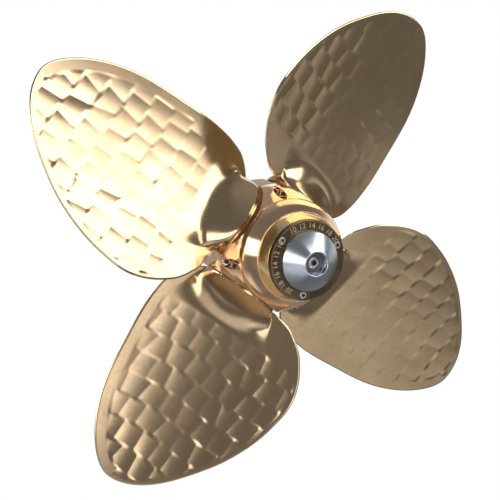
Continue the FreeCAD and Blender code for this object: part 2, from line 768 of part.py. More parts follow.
def palm_shape():
    """Return the blade's palm, neck and collar, turned about the blade axis."""
    bottom = value("seat_height + seat_gap")
    palm_top = bottom + value("palm_thickness")
    summit = palm_top + value("fairing_height")
    rim = value("palm_radius")
    waist = value("fairing_top_radius")
    neck = value("neck_radius")
    groove = neck - value("seal_thickness")
    seal_low = value("seal_height - seal_thickness / 2")
    seal_high = seal_low + value("seal_thickness")
    collar = value("collar_radius")
    low = value("collar_bottom")
    high = value("collar_top")
    corners = [(0, low), (collar, low), (collar, high), (neck, high), (neck, seal_low), (groove, seal_low),
               (groove, seal_high), (neck, seal_high), (neck, bottom), (rim, bottom), (rim, palm_top)]
    lines = [Part.LineSegment(upright(here), upright(there)) for here, there in zip(corners, corners[1:])]
    hollow = (waist + value("hollow_across") * (rim - waist),
              palm_top + value("hollow_up") * (summit - palm_top))
    lines.append(Part.Arc(upright((rim, palm_top)), upright(hollow), upright((waist, summit))))
    lines.append(Part.LineSegment(upright((waist, summit)), upright((0, summit))))
    lines.append(Part.LineSegment(upright((0, summit)), upright((0, low))))
    face = Part.Face(Part.Wire([line.toShape() for line in lines]))
    return face.revolve(Vector(0, 0, 0), Vector(0, 0, 1), 360)


def blade_shape():
    """Return one blade on +Z, with the holes for its gear's screw and pins."""
    half_chord = value("section_overreach * trailing_width")
    low = value("seat_height + seat_gap + palm_thickness / 2")
    high = value("tip_radius + 2 * cutter_margin")
    stations = [low + (high - low) * step / 6 for step in range(7)]
    block = Part.makeLoft([blade_section(radius, half_chord) for radius in stations], True, False)
    plate = block.common(outline_prism(value("trailing_width")))
    shape = plate.fuse(palm_shape())
    bottom = value("collar_bottom")
    margin = value("cutter_margin")
    reach = value("gear_screw_length - collar_bottom + blade_gear_front + 3 * cutter_margin")
    shape = shape.cut(Part.makeCylinder(value("gear_screw_radius + running_gap"), reach,
                                        Vector(0, 0, bottom - margin)))
    for side in (-1, 1):
        place = Vector(side * value("gear_pin_circle"), 0, bottom - margin)
        shape = shape.cut(Part.makeCylinder(value("gear_pin_radius + running_gap"),
                                            value("gear_pin_depth") + 2 * margin, place))
    return shape


def blade_gear_screw(label, turn):
    """Make the countersunk screw that draws a blade gear up to its blade."""
    body = new_body(label, turn)
    head = "blade_gear_front + gear_screw_sink"
    turned_about_blade_axis(body, (
        ("0", head),
        ("gear_screw_head", head),
        ("gear_screw_radius", f"{head} + gear_screw_head - gear_screw_radius"),
        ("gear_screw_radius", f"{head} + gear_screw_length"),
        ("0", f"{head} + gear_screw_length"),
    ))
    return body


def blade_seal(label, turn):
    """Make the rubber ring in a blade neck's groove."""
    body = new_body(label, turn)
    low = "seal_height - seal_thickness / 2 + running_gap"
    high = "seal_height + seal_thickness / 2 - running_gap"
    inner = "neck_radius - seal_thickness + running_gap"
    turned_about_blade_axis(body, ((inner, low), ("neck_radius", low), ("neck_radius", high), (inner, high)))
    return body


def gear_pins(label, turn):
    """Make the two pins that carry a blade gear's load into its blade."""
    pins = []
    start = value("collar_bottom + gear_pin_depth - gear_pin_length")
    for side in (-1, 1):
        place = Vector(side * value("gear_pin_circle"), 0, start)
        pins.append(Part.makeCylinder(value("gear_pin_radius"), value("gear_pin_length"), place))
    return shape_node(label, Part.makeCompound(pins), turn)


# ---------------------------------------------------------------- bevel gears

def involute_turn(cone, base_cone):
    """Return how far a spherical involute has turned when it reaches a cone angle, in radians."""
    if cone <= base_cone:
        return 0.0
    rolled = math.acos(math.cos(cone) / math.cos(base_cone)) / math.sin(base_cone)
    return rolled - math.acos(math.tan(base_cone) / math.tan(cone))


def cone_point(cone, turn, distance):
    """Return the point at a distance from the apex, on a cone about +Z."""
    return Vector(math.sin(cone) * math.cos(turn), math.sin(cone) * math.sin(turn), math.cos(cone)) * distance


def tooth_outline(teeth, pitch_cone, foot, tip, distance):
    """Return a tooth's corners on the plane square to its pitch line at a distance from the apex."""
    base_cone = math.asin(math.sin(pitch_cone) * math.cos(PRESSURE_ANGLE))
    thinning = value("gear_backlash") / 4 / (value("cone_distance") * math.sin(pitch_cone))
    half = math.pi / 2 / teeth - thinning + involute_turn(pitch_cone, base_cone)
    cones = [foot] + [base_cone + (tip - base_cone) * step / 4 for step in range(5)]
    flank = [(cone, half - involute_turn(cone, base_cone)) for cone in cones]
    middle = cone_point(pitch_cone, 0, 1)
    rays = [cone_point(cone, turn, 1) for cone, turn in flank + [(cone, -turn) for cone, turn in flank[::-1]]]
    return [ray * (distance / ray.dot(middle)) for ray in rays]


def tooth_solid(toe, heel):
    """Return the solid between two matching outlines."""
    faces = [Part.Face(Part.makePolygon(outline + outline[:1])) for outline in (toe, heel)]
    for index in range(len(toe)):
        after = (index + 1) % len(toe)
        corners = [toe[index], toe[after], heel[after], heel[index], toe[index]]
        faces.append(Part.Face(Part.makePolygon(corners)))
    return Part.Solid(Part.makeShell(faces))


def bevel_gear(teeth, mate_teeth, bore, front, back, rim, first_turn):
    """Return a bevel gear about +Z with its apex at the origin.

    bore is the hole's radius; front and back are the heights of its flat faces; rim is the radius of
    its back; first_turn is the turn of its first tooth from +X in degrees.
    """
    pitch_cone = math.atan2(teeth, mate_teeth)
    outer = value("cone_distance")
    inner = outer - value("face_width")
    module = 2 * outer * math.sin(pitch_cone) / teeth
    rise = 0.95 * module
    drop = 1.25 * module
    sink = 0.05 * module

    def level(height, distance):
        """Return the section's point at a height over the pitch cone, at a distance from the apex."""
        scaled = height * distance / outer
        return (distance * math.sin(pitch_cone) + scaled * math.cos(pitch_cone),
                distance * math.cos(pitch_cone) - scaled * math.sin(pitch_cone))

    toe_root = level(-drop - sink / 2, inner)
    heel_root = level(-drop, outer)
    blank = turned_face([(bore, front), (toe_root[0], front), toe_root, heel_root,
                         (rim, heel_root[1] + 0.1), (rim, back), (bore, back)])
    tip = pitch_cone + math.atan(rise / outer)
    foot = pitch_cone - math.atan((drop + sink) / outer)
    tooth = tooth_solid(tooth_outline(teeth, pitch_cone, foot, tip, inner),
                        tooth_outline(teeth, pitch_cone, foot, tip, outer))
    teeth_shapes = []
    for step in range(teeth):
        one = tooth.copy()
        one.rotate(Vector(0, 0, 0), Vector(0, 0, 1), first_turn + 360 * step / teeth)
        teeth_shapes.append(one)
    return blank.fuse(teeth_shapes)


def blade_gear_shape():
    """Return a blade's bevel gear on +Z, a tooth space facing the drive gear at +Y."""
    front = value("blade_gear_front")
    back = value("collar_bottom")
    gear = bevel_gear(BLADE_TEETH, DRIVE_TEETH, value("gear_screw_radius + running_gap"), front, back,
                      value("cone_distance * gear_rim_share"), 90 + 180 / BLADE_TEETH)
    head = value("gear_screw_head")
    shank = value("gear_screw_radius")
    margin = value("cutter_margin")
    sink = value("gear_screw_sink")
    gap = value("running_gap")
    gear = gear.cut(Part.makeCone(head + sink + gap, shank + gap, head - shank + sink, Vector(0, 0, front)))
    for side in (-1, 1):
        place = Vector(side * value("gear_pin_circle"), 0, front - margin)
        gear = gear.cut(Part.makeCylinder(value("gear_pin_radius + running_gap"),
                                          back - front + 2 * margin, place))
    return gear


def drive_gear_shape():
    """Return the inner hub's bevel gear about +Y, with a tooth facing each blade axis."""
    gear = bevel_gear(DRIVE_TEETH, BLADE_TEETH, value("core_radius + running_gap"),
                      value("cone_distance * gear_rim_share"),
                      value("flange_back"), value("flange_radius - free_gap"), 0)
    hole = Part.makeCylinder(value("flange_screw_radius + running_gap"), value("flange_screw_length"),
                             Vector(value("flange_screw_circle"), 0,
                                    value("flange_back + flange_thickness - flange_screw_length - free_gap")))
    for turn in FLANGE_SCREW_TURNS:
        one = hole.copy()
        one.rotate(Vector(0, 0, 0), Vector(0, 0, 1), turn)
        gear = gear.cut(one)
    gear.rotate(Vector(0, 0, 0), Vector(0, 0, 1), -90)
    gear.rotate(Vector(0, 0, 0), Vector(1, 0, 0), -90)
    return gear


# ---------------------------------------------------------------- assembly

def bearings():
    """Make the two bushes, the thrust washer, the shaft seal and the tab washer."""
    return [
        ring("front_bush", "journal_radius + running_gap", "journal_radius + bush_wall",
             "front_cavity_depth", "front_cavity_depth + front_bush_length"),
        ring("shaft_seal", "journal_radius + running_gap", "journal_radius + bush_wall",
             "front_cavity_depth + front_bush_length", "housing_ahead - free_gap"),
        ring("thrust_washer", "journal_radius + 2 * running_gap", "flange_radius - 4 * free_gap",
             "front_cavity_depth - washer_thickness", "front_cavity_depth"),
        ring("rear_bush", "core_radius + running_gap", "core_radius + bush_wall",
             "-rear_cavity_depth - rear_bush_length", "-rear_cavity_depth"),
        ring("tab_washer", "thread_clearance_radius - 2 * free_gap", "tab_washer_radius",
             "-core_aft - tab_washer_thickness", "-core_aft"),
    ]


def blade_set(number, turn):
    """Make one blade with its gear, gear screw, gear pins and neck seal."""
    return [
        shape_node(f"blade_{number}", blade_shape(), turn),
        shape_node(f"blade_gear_{number}", blade_gear_shape(), turn),
        blade_gear_screw(f"blade_gear_screw_{number}", turn),
        gear_pins(f"blade_gear_pins_{number}", turn),
        blade_seal(f"blade_seal_{number}", turn),
    ]


def check(node):
    """Stop the build if a sub-part failed, is empty or isn't a valid shape."""
    parts = [node] + list(getattr(node, "Group", []))
    for item in parts:
        if "Invalid" in item.State or "Error" in item.State:
            raise RuntimeError(f"{node.Label}: {item.Name} is {item.State}")
    if node.Shape.isNull() or not node.Shape.isValid() or not node.Shape.Solids:
        raise RuntimeError(f"{node.Label}: bad shape")


def build():
    """Build every sub-part and write each one's shape."""
    fill_sheet()
    nodes = [driver_hub(), shape_node("drive_gear", drive_gear_shape()), flange_screws(), shaft_nut()]
    nodes += [housing_rear(), housing_front(), stop_key(), hub_dowels()]
    hub_screw = socket_screw("hub_screw_master", "screw_circle", "screw_head_face", "screw_head_radius",
                             "screw_head_height", "screw_radius",
                             "screw_head_face - screw_head_height + screw_reach",
                             "screw_socket")
    nodes.append(copies("hub_screws", hub_screw, (45.0, 135.0, 225.0, 315.0)))
    nodes += bearings()
    nodes += [pitch_ring(), pitch_ring_screws(), end_cover(), cover_seal(), cover_screws()]
    nodes += [anode(), anode_sleeve(), anode_screw()]
    for number, turn in enumerate(BLADE_TURNS, start=1):
        nodes += blade_set(number, turn)
    document.recompute()
    os.makedirs("parts", exist_ok=True)
    for node in nodes:
        check(node)
    for node in nodes:
        node.Shape.exportStep(f"parts/{node.Label}.step")
        print(f"{node.Label:22s} solids {len(node.Shape.Solids)} volume {node.Shape.Volume / 1000:9.2f} cm3")


build()
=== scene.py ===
"""Looks of a four-bladed feathering boat propeller: scooped blades, polished hub, cover and anode."""
import json
import logging
import math
from collections.abc import Callable, Iterable, Sequence
from dataclasses import dataclass
from enum import Enum

import bmesh
import bpy
import numpy as np
from mathutils import Matrix, Vector
from mathutils.kdtree import KDTree


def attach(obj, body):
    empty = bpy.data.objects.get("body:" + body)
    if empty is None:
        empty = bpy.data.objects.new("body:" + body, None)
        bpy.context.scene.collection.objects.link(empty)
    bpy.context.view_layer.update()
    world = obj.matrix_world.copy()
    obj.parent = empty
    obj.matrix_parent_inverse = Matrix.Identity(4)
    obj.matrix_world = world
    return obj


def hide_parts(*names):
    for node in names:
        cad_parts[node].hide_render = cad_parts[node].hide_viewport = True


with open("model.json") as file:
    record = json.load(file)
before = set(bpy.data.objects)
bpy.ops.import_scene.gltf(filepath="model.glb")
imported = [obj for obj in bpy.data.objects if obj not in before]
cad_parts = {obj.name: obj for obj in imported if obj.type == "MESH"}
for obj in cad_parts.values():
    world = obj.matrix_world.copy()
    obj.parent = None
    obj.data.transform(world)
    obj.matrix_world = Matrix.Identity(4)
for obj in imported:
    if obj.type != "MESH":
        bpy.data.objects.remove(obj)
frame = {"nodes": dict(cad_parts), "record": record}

LOG = logging.getLogger("propeller")
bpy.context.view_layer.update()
FULL_TURN = 2 * math.pi
Profile = Sequence[tuple[float, float]]


class Lay(Enum):
    """Which way a finish's grain runs."""

    AROUND_SHAFT = "around the shaft axis"
    ALONG_BLADE = "along the blade"
    FREE = "no direction"


# ---------------------------------------------------------------- shader building

class Nodes:
    """A short-hand for adding and joining shader nodes in one tree."""

    def __init__(self, tree: bpy.types.NodeTree) -> None:
        """Keep the tree."""
        self.tree = tree

    def add(self, kind: str, settings: dict | None = None, **inputs: object) -> bpy.types.Node:
        """Add a node.

        Args:
            kind: The node's type name.
            settings: Properties of the node itself.
            **inputs: Values or sockets for its inputs, by name with underscores for spaces.

        Returns:
            The new node.
        """
        node = self.tree.nodes.new(kind)
        for name, value in (settings or {}).items():
            setattr(node, name, value)
        for name, value in inputs.items():
            self.feed(node.inputs[name.replace("_", " ")], value)
        return node

    def feed(self, socket: bpy.types.NodeSocket, value: object) -> None:
        """Link a socket to an input, or set its value."""
        if isinstance(value, bpy.types.NodeSocket):
            self.tree.links.new(value, socket)
        else:
            socket.default_value = value

    def math(self, operation: str, *values: object) -> bpy.types.NodeSocket:
        """Add a Math node and return its output."""
        node = self.tree.nodes.new("ShaderNodeMath")
        node.operation = operation
        for socket, value in zip(node.inputs, values):
            self.feed(socket, value)
        return node.outputs[0]

    def ramp(self, value: object, low: float, high: float, to_low: float,
             to_high: float) -> bpy.types.NodeSocket:
        """Map a value smoothly from one range to another and return the output."""
        node = self.add("ShaderNodeMapRange", {"interpolation_type": "SMOOTHSTEP"}, Value=value,
                        From_Min=low, From_Max=high, To_Min=to_low, To_Max=to_high)
        return node.outputs["Result"]

    def mix(self, factor: object, first: object, second: object) -> bpy.types.NodeSocket:
        """Mix two colours and return the output."""
        node = self.tree.nodes.new("ShaderNodeMix")
        node.data_type = "RGBA"
        for socket, value in ((node.inputs[0], factor), (node.inputs[6], first), (node.inputs[7], second)):
            self.feed(socket, value)
        return node.outputs[2]


def effect_group(name: str, inputs: dict[str, str], outputs: dict[str, str],
                 fill: Callable[[Nodes, bpy.types.Node, bpy.types.Node], None]) -> bpy.types.NodeTree:
    """Build a shader node group once.

    Args:
        name: The group's name.
        inputs: Socket names and types.
        outputs: Socket names and types.
        fill: Builds the nodes between the group's input and output nodes.

    Returns:
        The group.
    """
    group = bpy.data.node_groups.new(name, "ShaderNodeTree")
    for label, kind in inputs.items():
        group.interface.new_socket(label, in_out="INPUT", socket_type=kind)
    for label, kind in outputs.items():
        group.interface.new_socket(label, in_out="OUTPUT", socket_type=kind)
    start = group.nodes.new("NodeGroupInput")
    end = group.nodes.new("NodeGroupOutput")
    fill(Nodes(group), start, end)
    return group


def fill_tone(nodes: Nodes, start: bpy.types.Node, end: bpy.types.Node) -> None:
    """Fill the tone group: slow cloudy change between two colours, with a fine mottle."""
    cloud = nodes.add("ShaderNodeTexNoise", Vector=start.outputs["Vector"], Scale=start.outputs["Scale"],
                      Detail=3.0, Roughness=0.55)
    mottle = nodes.add("ShaderNodeTexNoise", Vector=start.outputs["Vector"],
                       Scale=nodes.math("MULTIPLY", start.outputs["Scale"], 11.0), Detail=2.0)
    blend = nodes.math("ADD", nodes.math("MULTIPLY", cloud.outputs[0], 0.75),
                       nodes.math("MULTIPLY", mottle.outputs[0], 0.25))
    mask = nodes.ramp(blend, 0.35, 0.65, 0.0, 1.0)
    nodes.feed(end.inputs["Color"], nodes.mix(mask, start.outputs["Light"], start.outputs["Dark"]))
    nodes.feed(end.inputs["Mask"], mask)


def fill_brush(nodes: Nodes, start: bpy.types.Node, end: bpy.types.Node) -> None:
    """Fill the brushed-grain group: two layers of noise drawn out along the grain."""
    coarse = nodes.add("ShaderNodeTexNoise", Vector=start.outputs["Vector"], Scale=1.0, Detail=4.0,
                       Roughness=0.7)
    fine = nodes.add("ShaderNodeTexNoise", Vector=start.outputs["Vector"], Scale=3.3, Detail=2.0)
    grain = nodes.math("ADD", nodes.math("MULTIPLY", coarse.outputs[0], 0.6),
                       nodes.math("MULTIPLY", fine.outputs[0], 0.4))
    nodes.feed(end.inputs["Grain"], grain)
    nodes.feed(end.inputs["Mask"], nodes.ramp(grain, 0.38, 0.62, 0.0, 1.0))


def fill_wear(nodes: Nodes, start: bpy.types.Node, end: bpy.types.Node) -> None:
    """Fill the wear group: brighter metal where edges have been handled."""
    geometry = nodes.add("ShaderNodeNewGeometry")
    edge = nodes.ramp(geometry.outputs["Pointiness"], 0.51, 0.58, 0.0, 1.0)
    speck = nodes.add("ShaderNodeTexNoise", Vector=start.outputs["Vector"], Scale=400.0, Detail=2.0)
    broken = nodes.ramp(speck.outputs[0], 0.35, 0.6, 0.4, 1.0)
    nodes.feed(end.inputs["Mask"], nodes.math("MULTIPLY", edge, broken))


TONE = effect_group("cloudy_tone", {"Vector": "NodeSocketVector", "Scale": "NodeSocketFloat",
                                    "Light": "NodeSocketColor", "Dark": "NodeSocketColor"},
                    {"Color": "NodeSocketColor", "Mask": "NodeSocketFloat"}, fill_tone)
BRUSH = effect_group("brushed_grain", {"Vector": "NodeSocketVector"},
                     {"Grain": "NodeSocketFloat", "Mask": "NodeSocketFloat"}, fill_brush)
WEAR = effect_group("edge_wear", {"Vector": "NodeSocketVector"}, {"Mask": "NodeSocketFloat"}, fill_wear)


@dataclass(frozen=True)
class MetalFinish:
    """A metal surface with cloudy colour, grain and worn edges. Colours are linear."""

    name: str
    light: tuple[float, float, float]
    dark: tuple[float, float, float]
    roughness: float
    rough_spread: float = 0.06
    metallic: float = 1.0
    lay: Lay = Lay.FREE
    grain_height: float = 0.00002
    grain_across: float = 2500.0
    grain_along: float = 60.0
    tone_scale: float = 40.0
    edge_radius: float = 0.0
    brushed: float = 0.0

    def grain_vector(self, nodes: Nodes, place: bpy.types.NodeSocket) -> bpy.types.NodeSocket:
        """Return coordinates drawn out along the grain."""
        if self.lay is Lay.ALONG_BLADE:
            flow = nodes.add("ShaderNodeUVMap", {"uv_map": "blade_lay"}).outputs["UV"]
            stretch = (self.grain_across, self.grain_along, 1.0)
        elif self.lay is Lay.AROUND_SHAFT:
            apart = nodes.add("ShaderNodeSeparateXYZ", Vector=place)
            x, y, z = apart.outputs
            radius = nodes.math("SQRT", nodes.math("ADD", nodes.math("MULTIPLY", x, x),
                                                   nodes.math("MULTIPLY", z, z)))
            turn = nodes.math("ARCTAN2", x, z)
            flow = nodes.add("ShaderNodeCombineXYZ", X=radius, Y=nodes.math("MULTIPLY", turn, 0.03),
                             Z=y).outputs[0]
            stretch = (self.grain_across, self.grain_along, self.grain_across)
        else:
            flow = place
            stretch = (self.grain_across,) * 3
        return nodes.add("ShaderNodeMapping", Vector=flow, Scale=stretch).outputs[0]

    def build(self) -> bpy.types.Material:
        """Build the material.

        Returns:
            The material, which works on any piece.
        """
        material = bpy.data.materials.new(self.name)
        material.use_nodes = True
        tree = material.node_tree
        nodes = Nodes(tree)
        shader = tree.nodes["Principled BSDF"]
        place = nodes.add("ShaderNodeTexCoord").outputs["Object"]
        tone = nodes.add("ShaderNodeGroup", {"node_tree": TONE}, Vector=place, Scale=self.tone_scale,
                         Light=(*self.light, 1.0), Dark=(*self.dark, 1.0))
        brush = nodes.add("ShaderNodeGroup", {"node_tree": BRUSH}, Vector=self.grain_vector(nodes, place))
        wear = nodes.add("ShaderNodeGroup", {"node_tree": WEAR}, Vector=place)
        bright = tuple(min(1.0, 1.25 * channel) for channel in self.light)
        colour = nodes.mix(nodes.math("MULTIPLY", wear.outputs["Mask"], 0.5), tone.outputs["Color"],
                           (*bright, 1.0))
        colour = nodes.mix(nodes.math("MULTIPLY", brush.outputs["Mask"], 0.12), colour, (*self.dark, 1.0))
        if self.lay is Lay.ALONG_BLADE:
            patch = nodes.add("ShaderNodeAttribute", {"attribute_name": "patch_tone"}).outputs["Fac"]
            colour = nodes.mix(nodes.math("MULTIPLY", patch, 0.45), colour, (*self.dark, 1.0))
        rough = nodes.ramp(nodes.math("ADD", nodes.math("MULTIPLY", tone.outputs["Mask"], 0.5),
                                      nodes.math("MULTIPLY", brush.outputs["Mask"], 0.5)),
                           0.0, 1.0, self.roughness - self.rough_spread, self.roughness + self.rough_spread)
        nodes.feed(shader.inputs["Base Color"], colour)
        nodes.feed(shader.inputs["Roughness"], rough)
        shader.inputs["Metallic"].default_value = self.metallic
        if self.lay is Lay.AROUND_SHAFT and self.brushed > 0.0:
            across = nodes.add("ShaderNodeVectorMath", {"operation": "CROSS_PRODUCT"})
            nodes.feed(across.inputs[0], (0.0, 1.0, 0.0))
            nodes.feed(across.inputs[1], place)
            turned = nodes.add("ShaderNodeVectorTransform", {"convert_from": "OBJECT", "convert_to": "WORLD"},
                               Vector=across.outputs[0])
            nodes.feed(shader.inputs["Tangent"], turned.outputs[0])
            shader.inputs["Anisotropic"].default_value = self.brushed
        bump = nodes.add("ShaderNodeBump", Strength=1.0, Distance=self.grain_height,
                         Height=brush.outputs["Grain"])
        if self.edge_radius > 0.0:
            edge = nodes.add("ShaderNodeBevel", {"samples": 4}, Radius=self.edge_radius)
            nodes.feed(bump.inputs["Normal"], edge.outputs[0])
        nodes.feed(shader.inputs["Normal"], bump.outputs[0])
        return material


class Finishes:
    """Every finish of the propeller, built once."""

    def __init__(self) -> None:
        """Build the materials."""
        self.blade = MetalFinish("blade_satin_bronze", (0.66, 0.50, 0.32), (0.57, 0.41, 0.245), 0.155,
                                 rough_spread=0.03, lay=Lay.ALONG_BLADE, grain_height=0.000012,
                                 grain_across=1700.0, grain_along=45.0, tone_scale=25.0).build()
        self.hub = MetalFinish("hub_polished_bronze", (0.92, 0.64, 0.43), (0.84, 0.54, 0.32), 0.12,
                               rough_spread=0.03, lay=Lay.AROUND_SHAFT, grain_height=0.000004,
                               edge_radius=0.0006).build()
        self.gear = MetalFinish("gear_cut_bronze", (0.62, 0.42, 0.22), (0.45, 0.30, 0.15), 0.32,
                                edge_radius=0.0003).build()
        self.ring = MetalFinish("ring_turned_brass", (0.84, 0.65, 0.37), (0.74, 0.54, 0.28), 0.2,
                                lay=Lay.AROUND_SHAFT, grain_height=0.00001, edge_radius=0.0003,
                                brushed=0.6).build()
        # Cover bronze: its base colour is darkened far below bronze as a painted dark reflection, standing in
        # for the dark surroundings the face mirrors.
        self.cover = MetalFinish("cover_bronze_painted_dark_reflection", (0.17, 0.125, 0.08), (0.10, 0.07, 0.042), 0.3,
                                 lay=Lay.AROUND_SHAFT, grain_height=0.00002, edge_radius=0.0003,
                                 brushed=0.8).build()
        self.marks = MetalFinish("cover_mark_brass", (0.80, 0.62, 0.36), (0.66, 0.48, 0.25), 0.35).build()
        self.zinc = MetalFinish("anode_turned_zinc", (0.62, 0.67, 0.74), (0.52, 0.57, 0.64), 0.2,
                                rough_spread=0.05, lay=Lay.AROUND_SHAFT, grain_height=0.000006,
                                edge_radius=0.0004, brushed=0.4).build()
        # Dark steel is the CAD nodes' dark steel, and on the screws it is painted shade inside the sockets.
        self.dark_steel = MetalFinish("dark_steel", (0.16, 0.17, 0.20), (0.10, 0.105, 0.13), 0.35,
                                      lay=Lay.AROUND_SHAFT).build()
        self.steel = MetalFinish("stainless_steel", (0.74, 0.70, 0.64), (0.60, 0.56, 0.51), 0.2,
                                 edge_radius=0.0003).build()
        self.rubber = MetalFinish("seal_rubber", (0.02, 0.02, 0.02), (0.012, 0.012, 0.012), 0.7,
                                  metallic=0.0).build()
        self.polymer = MetalFinish("bearing_polymer", (0.72, 0.69, 0.6), (0.62, 0.59, 0.5), 0.5,
                                   metallic=0.0).build()

    def for_slot(self, slot: str) -> bpy.types.Material:
        """Return the material of one of the record's slots."""
        return {
            "blade_bronze": self.blade, "hub_bronze": self.hub, "gear_bronze": self.gear,
            "ring_brass": self.ring, "cover_bronze": self.cover, "anode_zinc": self.zinc,
            "dark_steel": self.dark_steel, "stainless_steel": self.steel, "seal_rubber": self.rubber,
            "bearing_polymer": self.polymer,
        }[slot]


# ---------------------------------------------------------------- mesh helpers

def finish_piece(name: str, mesh: bmesh.types.BMesh, material: bpy.types.Material, body: str,
                 replaced: Iterable[str] = (), smooth_angle: float = 32.0,
                 second: bpy.types.Material | None = None) -> bpy.types.Object:
    """Turn a bmesh into a piece that rides on a body.

    Args:
        name: The piece's name.
        mesh: The mesh, in the row frame; it is freed.
        material: The piece's finish.
        body: The CAD body it rides on.
        replaced: CAD nodes that the piece stands for.
        smooth_angle: Edges sharper than this, in degrees, stay sharp.
        second: The finish of the faces marked as second, if there are any; on the screws it is dark steel,
            painted shade inside the socket.

    Returns:
        The piece.
    """
    data = bpy.data.meshes.new(name)
    for edge in mesh.edges:
        edge.smooth = not (edge.is_manifold and edge.calc_face_angle(0.0) > math.radians(smooth_angle))
    for face in mesh.faces:
        face.smooth = True
    mesh.to_mesh(data)
    mesh.free()
    data.materials.append(material)
    if second is not None:
        data.materials.append(second)
    piece = bpy.data.objects.new(name, data)
    bpy.context.scene.collection.objects.link(piece)
    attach(piece, body)
    names = list(replaced)
    if names:
        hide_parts(*names)
    LOG.info("%s: %d faces on %s", name, len(data.polygons), body)
    return piece


def rounded(corners: Profile, radius: float, steps: int = 4) -> list[tuple[float, float]]:
    """Round an open profile's corners.

    Args:
        corners: The profile's corners as (radius, place) pairs.
        radius: The rounding radius, limited by the sides beside each corner.
        steps: Points on each rounding, less one.

    Returns:
        The profile with its inner corners rounded.
    """
    points = [Vector(corner) for corner in corners]
    shaped = [tuple(points[0])]
    for before, here, after in zip(points, points[1:], points[2:]):
        back, ahead = before - here, after - here
        reach = min(radius, 0.45 * back.length, 0.45 * ahead.length)
        first = here + back.normalized() * reach
        last = here + ahead.normalized() * reach
        for step in range(steps + 1):
            share = step / steps
            spot = first * (1 - share) ** 2 + here * 2 * share * (1 - share) + last * share ** 2
            shaped.append(tuple(spot))
    shaped.append(tuple(points[-1]))
    return shaped


def lathe(profile: Profile, axis: Vector = Vector((0, 1, 0)), steps: int = 192,
          centre: Vector = Vector((0, 0, 0))) -> bmesh.types.BMesh:
    """Spin a profile about an axis through a centre.

    Args:
        profile: (radius, place along the axis) pairs.
        axis: The axis of the spin.
        steps: How many faces go round.
        centre: A point of the axis.

    Returns:
        The closed, merged mesh with its faces outward.
    """
    side = Vector((0, 0, 1)) if abs(axis.z) < 0.5 else Vector((1, 0, 0))
    mesh = bmesh.new()
    spots = [mesh.verts.new(centre + side * radius + axis * along) for radius, along in profile]
    edges = [mesh.edges.new(pair) for pair in zip(spots, spots[1:])]
    bmesh.ops.spin(mesh, geom=spots + edges, cent=centre, axis=axis, dvec=(0, 0, 0), angle=FULL_TURN,
                   steps=steps, use_merge=True, use_duplicate=False)
    bmesh.ops.remove_doubles(mesh, verts=mesh.verts, dist=1e-6)
    bmesh.ops.recalc_face_normals(mesh, faces=mesh.faces)
    return mesh


def cut(mesh: bmesh.types.BMesh, cutters: Sequence[bmesh.types.BMesh]) -> bmesh.types.BMesh:
    """Subtract closed meshes from a closed mesh.

    Args:
        mesh: The mesh to cut; it is freed.
        cutters: The meshes to take away; they are freed.

    Returns:
        The cut mesh.
    """
    def temporary(source: bmesh.types.BMesh, label: str) -> bpy.types.Object:
        """Put a bmesh in the scene for the modifier to read."""
        data = bpy.data.meshes.new(label)
        source.to_mesh(data)
        source.free()
        item = bpy.data.objects.new(label, data)
        bpy.context.scene.collection.objects.link(item)
        return item

    body = temporary(mesh, "cut_body")
    tools = [temporary(cutter, "cut_tool") for cutter in cutters]
    for tool in tools:
        step = body.modifiers.new("cut", "BOOLEAN")
        step.operation = "DIFFERENCE"
        step.solver = "EXACT"
        step.object = tool
    graph = bpy.context.evaluated_depsgraph_get()
    result = bmesh.new()
    result.from_mesh(body.evaluated_get(graph).to_mesh())
    for item in [body, *tools]:
        data = item.data
        bpy.data.objects.remove(item)
        bpy.data.meshes.remove(data)
    return result


def rod(radius: float, start: Vector, end: Vector, steps: int = 48) -> bmesh.types.BMesh:
    """Return a closed cylinder between two points."""
    mesh = bmesh.new()
    along = end - start
    turn = along.to_track_quat("Z", "Y").to_matrix().to_4x4()
    bmesh.ops.create_cone(mesh, cap_ends=True, segments=steps, radius1=radius, radius2=radius,
                          depth=along.length, matrix=Matrix.Translation((start + end) / 2) @ turn)
    return mesh


def about_shaft(degrees: float) -> Matrix:
    """Return the turn about the shaft axis that carries +Z towards +X."""
    return Matrix.Rotation(math.radians(degrees), 4, "Y")


# ---------------------------------------------------------------- blades

def eased(value: np.ndarray) -> np.ndarray:
    """Ease a share smoothly between 0 and 1."""
    share = np.clip(value, 0.0, 1.0)
    return share * share * (3 - 2 * share)


